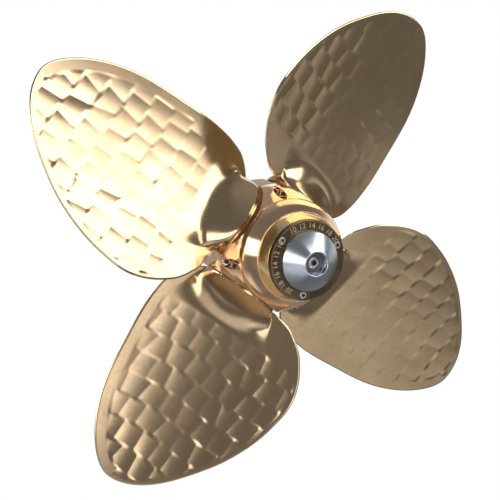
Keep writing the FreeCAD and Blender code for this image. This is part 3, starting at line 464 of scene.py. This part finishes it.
@dataclass
class Blade:
    """One blade with its palm, worked from the same sizes as the CAD blade. Sizes in metres."""

    finishes: Finishes
    number: int
    turn: float
    tip: float = 0.2667
    palm_top: float = 0.0518
    palm_bottom: float = 0.0503
    palm_radius: float = 0.038
    fairing_height: float = 0.040
    fairing_curve: float = 2.0
    fairing_widening: float = 0.5
    fairing_softening: float = 1.3
    softening_height: float = 0.6
    chord_angle: float = 16.7
    chord_angle_radius: float = 0.170
    twist: float = 36.0
    camber: float = 0.5
    root_thickness: float = 0.012
    tip_thickness: float = 0.0036
    edge_thickness: float = 0.0024
    edge_taper: float = 0.045
    edge_round: float = 0.0016
    patch_width: float = 0.0195
    patch_length: float = 0.0215
    patch_curve: float = 4.2
    patch_end_curve: float = 0.5
    patch_tilt: float = 0.022
    patch_step: float = 0.07
    patch_stray: float = 0.13
    row_offset: float = 0.42
    row_wave: float = 0.1
    row_wave_rate: float = 55.0
    patch_shallow: float = 0.28
    patch_start: float = 0.088
    leading_border: float = 0.010
    trailing_border: float = 0.003
    start_slant: float = 0.1
    leading_reach: float = 0.06
    start_fade: float = 0.006
    border_fade: float = 0.004
    deep_chord: float = 0.028
    deep_chord_fade: float = 0.03
    deep_radius: float = 0.2
    deep_radius_fade: float = 0.04
    tip_depth: float = 0.7
    columns: int = 164
    rows: int = 250
    outline_samples: int = 2400

    TRAILING = ((0.0520, 0.046), (0.0550, 0.0585), (0.0608, 0.0695), (0.0690, 0.0805), (0.0803, 0.0895),
                (0.1107, 0.1025), (0.1427, 0.1008), (0.1923, 0.0841), (0.2291, 0.0595), (0.2555, 0.0328))
    LEADING = ((0.0520, 0.0400), (0.0590, 0.0500), (0.0669, 0.0580), (0.0840, 0.0650), (0.1027, 0.067),
               (0.1528, 0.0631), (0.2011, 0.0546), (0.2363, 0.0385), (0.2555, 0.0228))

    def edge_table(self, stations: Profile) -> tuple[np.ndarray, np.ndarray]:
        """Return the span angle and the width over its cosine at each station, with the tip's."""
        span = self.tip - self.palm_top
        angles = [math.asin((radius - self.palm_top) / span) for radius, _ in stations]
        widths = [width / math.cos(angle) for (_, width), angle in zip(stations, angles)]
        angles.append(math.pi / 2)
        widths.append(widths[-1] + (widths[-1] - widths[-2]) * 0.6)
        return np.array(angles), np.array(widths)

    def edge(self, stations: Profile, angle: np.ndarray) -> np.ndarray:
        """Return the edge's distance from the blade axis at span angles, as one smooth curve."""
        knots, widths = self.edge_table(stations)
        slopes = np.gradient(widths, knots)
        slot = np.clip(np.searchsorted(knots, angle, side="right") - 1, 0, len(knots) - 2)
        step = knots[slot + 1] - knots[slot]
        share = np.clip((angle - knots[slot]) / step, 0.0, 1.0)
        cubic = ((2 * share ** 3 - 3 * share ** 2 + 1) * widths[slot]
                 + (share ** 3 - 2 * share ** 2 + share) * step * slopes[slot]
                 + (3 * share ** 2 - 2 * share ** 3) * widths[slot + 1]
                 + (share ** 3 - share ** 2) * step * slopes[slot + 1])
        return cubic * np.cos(angle)

    def layout(self, across: np.ndarray, up: np.ndarray) -> tuple[np.ndarray, np.ndarray]:
        """Return each grid point's chord place and radius from its places in the unit square."""
        angle = up * (0.5 + 0.5 * up) * math.pi / 2
        radius = self.palm_top + (self.tip - self.palm_top) * np.sin(angle)
        share = 0.68 * (2 * across - 1) - 0.32 * np.cos(across * math.pi)
        trailing = self.edge(self.TRAILING, angle)
        leading = self.edge(self.LEADING, angle)
        return (trailing - leading) / 2 + share * (trailing + leading) / 2, radius

    def rim_distance(self, chord: np.ndarray, radius: np.ndarray) -> np.ndarray:
        """Return each point's distance to the blade's outline, from which its root line is left out."""
        angle = np.linspace(0.0, math.pi / 2, self.outline_samples)
        height = self.palm_top + (self.tip - self.palm_top) * np.sin(angle)
        tree = KDTree(2 * len(angle))
        for index in range(len(angle)):
            for side, stations in ((1, self.TRAILING), (-1, self.LEADING)):
                width = float(self.edge(stations, angle[index:index + 1])[0])
                tree.insert((side * width, float(height[index]), 0.0), 2 * index + (side > 0))
        tree.balance()
        return np.array([tree.find((x, y, 0.0))[2] for x, y in zip(chord, radius)])

    def thickness(self, radius: np.ndarray, rim: np.ndarray) -> np.ndarray:
        """Return the thickness at points of the blade."""
        span = (radius - self.palm_top) / (self.tip - self.palm_top)
        middle = self.root_thickness + (self.tip_thickness - self.root_thickness) * span
        inward = np.clip(rim / self.edge_taper, 0.0, 1.0)
        return self.edge_thickness + (middle - self.edge_thickness) * (1 - (1 - inward) ** 2)

    def scoop_row(self, row: np.ndarray, chord: np.ndarray, radius: np.ndarray,
                  table: np.ndarray) -> tuple[np.ndarray, np.ndarray]:
        """Return the height and tone that a row of ground scoops would give at each point."""
        shift = self.row_offset * (row % 2) + 0.1 * table[4, row % 64, 0]
        column = np.floor(chord / self.patch_width + shift).astype(int)
        best = np.full(chord.shape, np.inf)
        tone = np.zeros(chord.shape)
        for step in (-1, 0, 1):
            here = column + step
            key = (row % 64, here % 64)
            across = chord - (here + 0.5 - shift + self.patch_stray * table[0][key]) * self.patch_width
            along = radius - (row + 0.5) * self.patch_length
            height = (self.patch_curve * across ** 2 + self.patch_end_curve * along ** 2
                      + self.patch_tilt * (table[1][key] * across + table[2][key] * along))
            lower = height < best
            best = np.where(lower, height, best)
            tone = np.where(lower, 0.5 + 0.5 * table[3][key], tone)
        return best, tone

    def scoops(self, chord: np.ndarray, radius: np.ndarray, seed: int) -> tuple[np.ndarray, np.ndarray]:
        """Return the height of the ground scoops, which lie in rows like bricks, and a tone for each.

        Args:
            chord: Chord places.
            radius: Radii.
            seed: Which hand-ground pattern.

        Returns:
            The height at each point, and its scoop's tone from 0 to 1.
        """
        table = np.random.default_rng(seed).uniform(-1.0, 1.0, (5, 64, 64))
        level = radius / self.patch_length + self.row_wave * np.sin(chord * self.row_wave_rate + seed)
        row = np.floor(level).astype(int)
        share = level - row
        beside = np.where(share < 0.5, row - 1, row + 1)
        own = 0.5 + 0.5 * eased(np.minimum(share, 1 - share) / self.patch_step)
        height, tone = self.scoop_row(row, chord, radius, table)
        other_height, other_tone = self.scoop_row(beside, chord, radius, table)
        return own * height + (1 - own) * other_height, own * tone + (1 - own) * other_tone

    def scoop_mask(self, chord: np.ndarray, radius: np.ndarray, rim: np.ndarray) -> np.ndarray:
        """Return how deep the scoops go: none at the root and border, most towards the trailing edge."""
        start = self.patch_start - self.start_slant * np.clip(chord, -self.leading_reach, 0.0)
        border = np.where(chord < 0, self.leading_border, self.trailing_border)
        towards_trailing = eased((chord - self.deep_chord) / self.deep_chord_fade)
        towards_tip = self.tip_depth * eased((radius - self.deep_radius) / self.deep_radius_fade)
        strength = self.patch_shallow + (1 - self.patch_shallow) * np.maximum(towards_trailing, towards_tip)
        fade_in = eased((radius - start) / self.start_fade)
        return fade_in * eased((rim - border) / self.border_fade) * strength

    def flare(self, chord: np.ndarray, radius: np.ndarray) -> tuple[np.ndarray, np.ndarray]:
        """Return how far the palm's fairing stands out at each point, and how near the palm it is."""
        rise = np.clip((radius - self.palm_top) / self.fairing_height, 0.0, 1.0)
        nearness = (1 - rise) ** self.fairing_curve
        reach = self.palm_radius * (1 + self.fairing_widening * rise)
        inside = np.clip(1 - (chord / reach) ** 2, 0.0, 1.0)
        roundness = 0.5 + self.fairing_softening * eased(rise / self.softening_height)
        return self.palm_radius * nearness * inside ** roundness, nearness

    def place(self, chord: float, radius: float, depth: float) -> Vector:
        """Return a point of the blade on +Z; depth is measured ahead from the pressure face."""
        angle = math.radians(self.chord_angle - self.twist * (radius - self.chord_angle_radius))
        bulge = self.camber * chord * chord
        return Vector((-chord * math.cos(angle) - depth * math.sin(angle),
                       -chord * math.sin(angle) - bulge + depth * math.cos(angle), radius))

    def face(self, mesh: bmesh.types.BMesh, aft: bool) -> None:
        """Add one face of the blade to the mesh, from its root row to the tip."""
        made = bmesh.ops.create_grid(mesh, x_segments=self.columns, y_segments=self.rows,
                                     size=0.5)["verts"]
        across = np.array([spot.co.x for spot in made]) + 0.5
        up = np.array([spot.co.y for spot in made]) + 0.5
        chord, radius = self.layout(across, up)
        rim = self.rim_distance(chord, radius)
        rim = np.where((across < 1e-5) | (across > 1 - 1e-5) | (up > 1 - 1e-5), 0.0, rim)
        thick = self.thickness(radius, rim)
        near = np.clip(1 - rim / self.edge_round, 0.0, 1.0)
        roll = thick / 2 * (1 - np.sqrt(1 - near ** 2))
        depth, tone = self.scoops(chord, radius, 11 * self.number + (0 if aft else 5))
        mask = self.scoop_mask(chord, radius, rim)
        stand, nearness = self.flare(chord, radius)
        if aft:
            level = roll - depth * mask - stand
        else:
            level = thick - roll + depth * mask + stand - nearness * (thick - 2 * roll)
        uv = mesh.loops.layers.uv["blade_lay"]
        tint = mesh.verts.layers.float["patch_tone"]
        flow = {}
        for index, spot in enumerate(made):
            flow[spot] = (float(chord[index]), float(radius[index]))
            spot[tint] = float(tone[index] * mask[index])
            spot.co = self.place(float(chord[index]), float(radius[index]), float(level[index]))
        for facet in {facet for spot in made for facet in spot.link_faces}:
            for loop in facet.loops:
                loop[uv].uv = flow[loop.vert]

    def palm(self, mesh: bmesh.types.BMesh) -> None:
        """Close the root: drop its loop to the palm's underside and fill it."""
        rim = [edge for edge in mesh.edges if edge.is_boundary]
        drop = bmesh.ops.extrude_edge_only(mesh, edges=rim)["geom"]
        lower = [item for item in drop if isinstance(item, bmesh.types.BMVert)]
        for spot in lower:
            spot.co.z = self.palm_bottom
        edges = [item for item in drop if isinstance(item, bmesh.types.BMEdge) and item.is_boundary]
        bmesh.ops.contextual_create(mesh, geom=edges)

    def build(self) -> None:
        """Build the blade and its neck."""
        mesh = bmesh.new()
        mesh.loops.layers.uv.new("blade_lay")
        mesh.verts.layers.float.new("patch_tone")
        self.face(mesh, aft=True)
        self.face(mesh, aft=False)
        bmesh.ops.remove_doubles(mesh, verts=mesh.verts, dist=2e-6)
        bmesh.ops.dissolve_degenerate(mesh, edges=mesh.edges, dist=1e-7)
        self.palm(mesh)
        bmesh.ops.recalc_face_normals(mesh, faces=mesh.faces)
        bmesh.ops.transform(mesh, matrix=about_shaft(self.turn), verts=mesh.verts)
        body = f"blade_{self.number}"
        finish_piece(f"blade_face_{self.number}", mesh, self.finishes.blade, body,
                     [f"blade_{self.number}"], smooth_angle=40.0)
        neck = lathe(rounded(((0.0, 0.041), (0.034, 0.041), (0.034, 0.046), (0.030, 0.046), (0.030, 0.0472),
                              (0.0282, 0.0472), (0.0282, 0.049), (0.030, 0.049), (0.030, 0.0504),
                              (0.0, 0.0504)), 0.0003, 2), axis=Vector((0, 0, 1)), steps=96)
        bmesh.ops.transform(neck, matrix=about_shaft(self.turn), verts=neck.verts)
        finish_piece(f"blade_neck_{self.number}", neck, self.finishes.hub, body)


# ---------------------------------------------------------------- hub

def screw(radius: float, height: float, shank: float, length: float, across: float, centre: Vector,
          face: float) -> bmesh.types.BMesh:
    """Return a socket screw whose head faces aft, with the faces inside its socket marked for painted shade.

    Args:
        radius: The head's radius.
        height: The head's height.
        shank: The shank's radius.
        length: The shank's length.
        across: The socket's width across flats.
        centre: The screw's place on the plane across the shaft.
        face: How far aft the head's face is.

    Returns:
        The screw's mesh.
    """
    aft = Vector((0, -1, 0))
    corner = 0.12 * radius
    profile = ((0.0, face), (0.55 * across + 0.0003, face), (radius - corner, face), (radius, face - corner),
               (radius, face - height), (shank, face - height), (shank, face - height - length),
               (0.0, face - height - length))
    body = lathe(rounded(profile, 0.0003, 3), aft, 48, centre)
    socket = bmesh.new()
    turn = Matrix.Rotation(math.pi / 2, 4, "X")
    bmesh.ops.create_cone(socket, cap_ends=True, segments=6, radius1=across / math.sqrt(3),
                          radius2=across / math.sqrt(3), depth=1.2 * height,
                          matrix=Matrix.Translation(centre + aft * face) @ turn)
    body = cut(body, [socket])
    for facet in body.faces:
        # Faces inside the hex socket take the second slot, which the callers fill with dark steel: painted
        # shade in the recess.
        place = facet.calc_center_median() - centre
        inside = Vector((place.x, place.z)).length < 0.6 * across
        facet.material_index = int(inside and -place.y < face - 0.00002 and -place.y > face - height)
    return body


@dataclass
class Housing:
    """The two polished halves of the hub and their screws. Sizes in metres, places as distances aft."""

    finishes: Finishes
    seat_height: float = 0.050
    neck_bore: float = 0.03005
    screw_circle: float = 0.0555
    pocket_radius: float = 0.0047
    pocket_floor: float = 0.0229
    screw_face: float = 0.0279
    screw_head: float = 0.00425
    lobes: tuple[float, ...] = (45.0, 135.0, 225.0, 315.0)

    def seat_cutters(self) -> list[bmesh.types.BMesh]:
        """Return the four flats and the neck bores."""
        tools = []
        for turn in (0.0, 90.0, 180.0, 270.0):
            block = bmesh.new()
            bmesh.ops.create_cube(block, size=0.1, matrix=Matrix.Translation((0, 0, self.seat_height + 0.05))
                                  @ Matrix.Diagonal((2.0, 2.0, 1.0, 1.0)))
            bmesh.ops.transform(block, matrix=about_shaft(turn), verts=block.verts)
            bore = rod(self.neck_bore, Vector((0, 0, 0.02)), Vector((0, 0, 0.08)), 96)
            bmesh.ops.transform(bore, matrix=about_shaft(turn), verts=bore.verts)
            tools += [block, bore]
        return tools

    def lobe_place(self, turn: float) -> Vector:
        """Return the place of a lobe's screw."""
        return about_shaft(turn) @ Vector((0, 0, self.screw_circle))

    def rear(self) -> None:
        """Build the aft half, with its domed end and the screws' pockets."""
        outside = rounded(((0.062, 0.0), (0.062, -0.020), (0.0585, -0.034), (0.0532, -0.046),
                           (0.0510, -0.050)), 0.02, 8)
        dome = rounded(((0.0510, -0.0501), (0.0500, -0.055), (0.0465, -0.061), (0.0410, -0.0673)), 0.02, 8)
        inside = ((0.0405, -0.0673), (0.027, -0.0673), (0.027, -0.031), (0.038, -0.031), (0.038, 0.0),
                  (0.062, 0.0))
        shell = lathe([*outside, *dome, *inside], steps=256)
        aft = Vector((0, -1, 0))
        pockets = [rod(self.pocket_radius, self.lobe_place(turn) + aft * self.pocket_floor,
                       self.lobe_place(turn) + aft * 0.09, 64) for turn in self.lobes]
        shell = cut(shell, [*self.seat_cutters(), *pockets])
        finish_piece("housing_aft_half", shell, self.finishes.hub, "housing", ["housing_rear"],
                     smooth_angle=20.0)

    def front(self) -> None:
        """Build the forward half."""
        outside = rounded(((0.062, 0.0), (0.062, 0.024), (0.0595, 0.033), (0.0470, 0.056), (0.0440, 0.060)),
                          0.006, 8)
        inside = ((0.033, 0.060), (0.033, 0.0445), (0.041, 0.0445), (0.041, 0.0), (0.062, 0.0))
        shell = cut(lathe([*outside, *inside], steps=256), self.seat_cutters())
        finish_piece("housing_forward_half", shell, self.finishes.hub, "housing",
                     ["housing_front"], smooth_angle=20.0)

    def screws(self) -> None:
        """Build the four socket screws of the joint."""
        for number, turn in enumerate(self.lobes, start=1):
            mesh = screw(self.screw_head, 0.005, 0.0025, 0.020, 0.004, self.lobe_place(turn), self.screw_face)
            # The dark steel second finish is painted shade inside the sockets.
            finish_piece(f"housing_screw_{number}", mesh, self.finishes.steel, "housing",
                         ["hub_screws"] if number == 1 else (), second=self.finishes.dark_steel)

    def build(self) -> None:
        """Build the housing."""
        self.rear()
        self.front()
        self.screws()


@dataclass
class SternClosure:
    """The brass ring, the cover with its generic dial marks, and the cover's screws."""

    finishes: Finishes
    cover_face: float = 0.085
    cover_lip: float = 0.081
    screw_circle: float = 0.0311
    screw_turns: tuple[float, ...] = (30.0, 150.0, 270.0)
    numerals: tuple[int, ...] = (10, 12, 14, 16, 18, 20)
    numeral_size: float = 0.0066
    numeral_rows: tuple[tuple[float, float], ...] = ((-66.0, 17.0), (-97.0, -17.0))
    mark_height: float = 0.00006
    tick_circle: float = 0.0349
    tick_size: tuple[float, float, float] = (0.0003, 0.00012, 0.0010)
    tick_step: float = 3.0
    screw_clearance: float = 8.0

    def ring(self) -> None:
        """Build the conical ring."""
        lip = -self.cover_lip
        profile = rounded(((0.0276, -0.0673), (0.0403, -0.0673), (0.0366, lip), (0.0276, lip),
                           (0.0276, -0.0673)), 0.0003, 3)
        finish_piece("brass_ring", lathe(profile, steps=192), self.finishes.ring, "housing",
                     ["pitch_ring"])

    def cover(self) -> None:
        """Build the cover disc with its screw pockets."""
        face, lip = -self.cover_face, -self.cover_lip
        profile = rounded(((0.0031, -0.074), (0.0031, face), (0.0267, face), (0.0268, -0.0848),
                           (0.0272, -0.0848), (0.0273, face), (0.0356, face), (0.0366, lip),
                           (0.0274, lip), (0.0274, -0.074), (0.0031, -0.074)), 0.00025, 3)
        pockets = []
        for turn in self.screw_turns:
            place = about_shaft(turn) @ Vector((0, 0, self.screw_circle))
            pockets.append(rod(0.0037, place + Vector((0, -0.082, 0)), place + Vector((0, -0.09, 0)), 48))
        finish_piece("cover_disc", cut(lathe(profile, steps=192), pockets), self.finishes.cover, "housing",
                     ["end_cover"])

    def numeral(self, text: str, turn: float) -> bmesh.types.BMesh:
        """Return one number of the dial, cut from a text outline, at a turn about the shaft."""
        words = bpy.data.curves.new("numeral", "FONT")
        words.body = text
        words.size = self.numeral_size
        words.align_x = "CENTER"
        words.align_y = "CENTER"
        words.extrude = self.mark_height
        item = bpy.data.objects.new("numeral", words)
        bpy.context.scene.collection.objects.link(item)
        graph = bpy.context.evaluated_depsgraph_get()
        mesh = bmesh.new()
        mesh.from_mesh(item.evaluated_get(graph).to_mesh())
        bpy.data.objects.remove(item)
        bpy.data.curves.remove(words)
        stand = (Matrix.Translation((0, -self.cover_face, self.screw_circle))
                 @ Matrix.Rotation(math.pi / 2, 4, "X"))
        bmesh.ops.transform(mesh, matrix=about_shaft(turn) @ stand, verts=mesh.verts)
        return mesh

    def marks(self) -> None:
        """Build the dial's ticks and numbers, clear of the screws."""
        whole = bmesh.new()
        sink = bpy.data.meshes.new("marks")
        for start, step in self.numeral_rows:
            for index, value in enumerate(self.numerals):
                part = self.numeral(str(value), start + step * index)
                part.to_mesh(sink)
                part.free()
                whole.from_mesh(sink)
        place = Matrix.Translation((0, -self.cover_face, self.tick_circle))
        for tick in range(round(360 / self.tick_step)):
            turn = self.tick_step * tick
            apart = [abs((turn - screw_turn + 180) % 360 - 180) for screw_turn in self.screw_turns]
            if min(apart) < self.screw_clearance:
                continue
            bmesh.ops.create_cube(whole, size=1.0, matrix=about_shaft(turn) @ place
                                  @ Matrix.Diagonal((*self.tick_size, 1.0)))
        bpy.data.meshes.remove(sink)
        finish_piece("cover_dial_marks", whole, self.finishes.marks, "housing")

    def screws(self) -> None:
        """Build the three small socket screws."""
        for number, turn in enumerate(self.screw_turns, start=1):
            place = about_shaft(turn) @ Vector((0, 0, self.screw_circle))
            mesh = screw(0.0035, 0.0028, 0.002, 0.008, 0.003, place, self.cover_face - 0.0002)
            # The dark steel second finish is painted shade inside the sockets.
            finish_piece(f"cover_screw_{number}", mesh, self.finishes.steel, "housing",
                         ["cover_screws"] if number == 1 else (), second=self.finishes.dark_steel)

    def build(self) -> None:
        """Build the closure."""
        self.ring()
        self.cover()
        self.marks()
        self.screws()


@dataclass
class Anode:
    """The turned zinc cone and its socket screw."""

    finishes: Finishes

    def build(self) -> None:
        """Build the zinc and the screw."""
        profile = rounded(((0.00845, -0.085), (0.0266, -0.085), (0.0266, -0.0896), (0.0113, -0.1024),
                           (0.0102, -0.1024), (0.00845, -0.0954), (0.00845, -0.085)), 0.0006, 4)
        finish_piece("zinc_cone", lathe(profile, steps=192), self.finishes.zinc, "housing",
                     ["anode"])
        mesh = screw(0.005, 0.006, 0.003, 0.015, 0.005, Vector((0, 0, 0)), 0.096)
        # The dark steel second finish is painted shade inside the socket.
        finish_piece("zinc_screw", mesh, self.finishes.steel, "housing", ["anode_screw"],
                     second=self.finishes.dark_steel)


# ---------------------------------------------------------------- studio

@dataclass(frozen=True)
class SoftBox:
    """A rectangle of light far away, seen only in the metal."""

    centre: tuple[float, float, float]
    side: tuple[float, float, float]
    half_width: float
    half_height: float
    strength: float
    blur: float = 0.03

    def brightness(self, nodes: Nodes, direction: bpy.types.NodeSocket) -> bpy.types.NodeSocket:
        """Return the light's strength along a direction."""
        middle = Vector(self.centre).normalized()
        across = Vector(self.side) - middle * middle.dot(Vector(self.side))
        across.normalize()
        along = middle.cross(across)
        shade: object = self.strength
        for axis, reach in ((across, self.half_width), (along, self.half_height)):
            apart = nodes.math("ABSOLUTE", self.share(nodes, direction, axis))
            edge = nodes.ramp(apart, reach - self.blur, reach + self.blur, 1.0, 0.0)
            shade = nodes.math("MULTIPLY", shade, edge)
        front = nodes.ramp(self.share(nodes, direction, middle), 0.0, 0.2, 0.0, 1.0)
        return nodes.math("MULTIPLY", shade, front)

    @staticmethod
    def share(nodes: Nodes, direction: bpy.types.NodeSocket, axis: Vector) -> bpy.types.NodeSocket:
        """Return the part of a direction that lies along an axis."""
        dot = nodes.add("ShaderNodeVectorMath", {"operation": "DOT_PRODUCT"})
        nodes.feed(dot.inputs[0], direction)
        nodes.feed(dot.inputs[1], axis)
        return dot.outputs["Value"]


class Studio:
    """Floor, surroundings and camera."""

    CAMERA_PLACE = Vector((-0.33625, -0.72821, -0.08088))
    CAMERA_RIGHT = Vector((0.7338, -0.3756, 0.5660))
    CAMERA_UP = Vector((-0.5466, 0.1680, 0.8203))
    LENS = 60.0
    FLOOR_LEVEL = -0.32
    AMBIENT = 0.18
    LIGHTS = (
        SoftBox((0.04, -0.61, 0.865), (-0.60, 0.38, 0.70), 0.33, 0.55, 3.2, 0.02),
        SoftBox((-0.02, -1.01, 0.07), (0.76, -0.13, 0.64), 0.156, 0.30, 1.9, 0.015),
        SoftBox((-0.80, -0.10, -0.42), (0.45, 0.0, -0.85), 0.22, 0.75, 2.6),
        SoftBox((0.42, -0.80, -0.42), (0.77, 0.63, 0.0), 0.22, 0.35, 0.45, 0.14),
        SoftBox((0.90, -0.30, 0.35), (0.3, 0.9, 0.0), 0.08, 0.20, 0.30, 0.06),
        SoftBox((0.83, -0.55, 0.12), (0.5, 0.8, 0.0), 0.06, 0.12, 0.25, 0.05),
        SoftBox((-0.10, -0.65, -0.75), (1.0, 0.0, 0.0), 0.45, 0.30, 0.60, 0.15),
        SoftBox((0.0, 1.0, 0.0), (1.0, 0.0, 0.0), 0.80, 0.80, 0.20, 0.30),
        SoftBox((0.02, 0.68, 0.72), (1.0, 0.0, 0.0), 0.16, 0.25, 1.2, 0.08),
        SoftBox((0.60, 0.50, 0.62), (0.8, 0.0, -0.8), 0.25, 0.35, 0.6, 0.15),
        SoftBox((-0.05, 0.45, -0.9), (1.0, 0.0, 0.0), 0.25, 0.40, 0.6, 0.15),
        SoftBox((0.55, -0.85, 0.10), (1.0, 0.6, 0.0), 0.10, 0.10, 0.5, 0.08),
    )

    def surroundings(self) -> None:
        """Make the soft boxes that the metal mirrors, before a plain white backdrop."""
        world = bpy.data.worlds.new("studio")
        bpy.context.scene.world = world
        world.use_nodes = True
        tree = world.node_tree
        tree.nodes.clear()
        nodes = Nodes(tree)
        direction = nodes.add("ShaderNodeTexCoord").outputs["Generated"]
        total: object = self.AMBIENT
        for light in self.LIGHTS:
            total = nodes.math("ADD", total, light.brightness(nodes, direction))
        mirrored = nodes.add("ShaderNodeBackground", Color=(1.0, 1.0, 1.0, 1.0), Strength=total)
        backdrop = nodes.add("ShaderNodeBackground", Color=(1.0, 1.0, 1.0, 1.0), Strength=1.0)
        rays = nodes.add("ShaderNodeLightPath").outputs["Is Camera Ray"]
        both = nodes.add("ShaderNodeMixShader", Fac=rays)
        nodes.feed(both.inputs[1], mirrored.outputs[0])
        nodes.feed(both.inputs[2], backdrop.outputs[0])
        output = nodes.add("ShaderNodeOutputWorld")
        nodes.feed(output.inputs["Surface"], both.outputs[0])

    def floor(self) -> None:
        """Make the pale floor, as white as the backdrop, which the metal doesn't mirror."""
        mesh = bmesh.new()
        bmesh.ops.create_grid(mesh, x_segments=1, y_segments=1, size=6.0,
                              matrix=Matrix.Translation((0, 0, self.FLOOR_LEVEL)))
        data = bpy.data.meshes.new("floor")
        mesh.to_mesh(data)
        mesh.free()
        material = bpy.data.materials.new("floor_pale")
        material.use_nodes = True
        tree = material.node_tree
        nodes = Nodes(tree)
        tree.nodes.remove(tree.nodes["Principled BSDF"])
        clear = nodes.add("ShaderNodeBsdfTransparent")
        glow = nodes.add("ShaderNodeEmission", Color=(1.0, 1.0, 1.0, 1.0), Strength=1.0)
        rays = nodes.add("ShaderNodeLightPath").outputs["Is Camera Ray"]
        both = nodes.add("ShaderNodeMixShader", Fac=rays)
        nodes.feed(both.inputs[1], clear.outputs[0])
        nodes.feed(both.inputs[2], glow.outputs[0])
        nodes.feed(tree.nodes["Material Output"].inputs["Surface"], both.outputs[0])
        data.materials.append(material)
        floor = bpy.data.objects.new("floor", data)
        bpy.context.scene.collection.objects.link(floor)

    def camera(self) -> None:
        """Set the camera at the viewing angle."""
        data = bpy.data.cameras.new("camera")
        data.lens = self.LENS
        data.sensor_width = 36.0
        camera = bpy.data.objects.new("camera", data)
        right = self.CAMERA_RIGHT.normalized()
        back = right.cross(self.CAMERA_UP).normalized()
        up = back.cross(right)
        pose = Matrix((right, up, back)).transposed().to_4x4()
        pose.translation = self.CAMERA_PLACE
        camera.matrix_world = pose
        bpy.context.scene.collection.objects.link(camera)
        bpy.context.scene.camera = camera

    def build(self) -> None:
        """Build the studio."""
        self.surroundings()
        self.floor()
        self.camera()
        bpy.context.scene.view_settings.view_transform = "Standard"


def dress_nodes(finishes: Finishes) -> None:
    """Give every CAD node its finish."""
    slots = {part["node"]: part["material_slot"] for part in frame["record"]["subparts"]}
    for name, item in frame["nodes"].items():
        material = finishes.for_slot(slots[name])
        for index in range(len(item.material_slots)):
            item.material_slots[index].material = material


def main() -> None:
    """Build the propeller's looks."""
    finishes = Finishes()
    dress_nodes(finishes)
    for number, turn in enumerate((0.0, -90.0, 180.0, 90.0), start=1):
        Blade(finishes, number, turn).build()
    Housing(finishes).build()
    SternClosure(finishes).build()
    Anode(finishes).build()
    Studio().build()


if __name__ == "__main__":
    logging.basicConfig(level=logging.INFO)
    main()
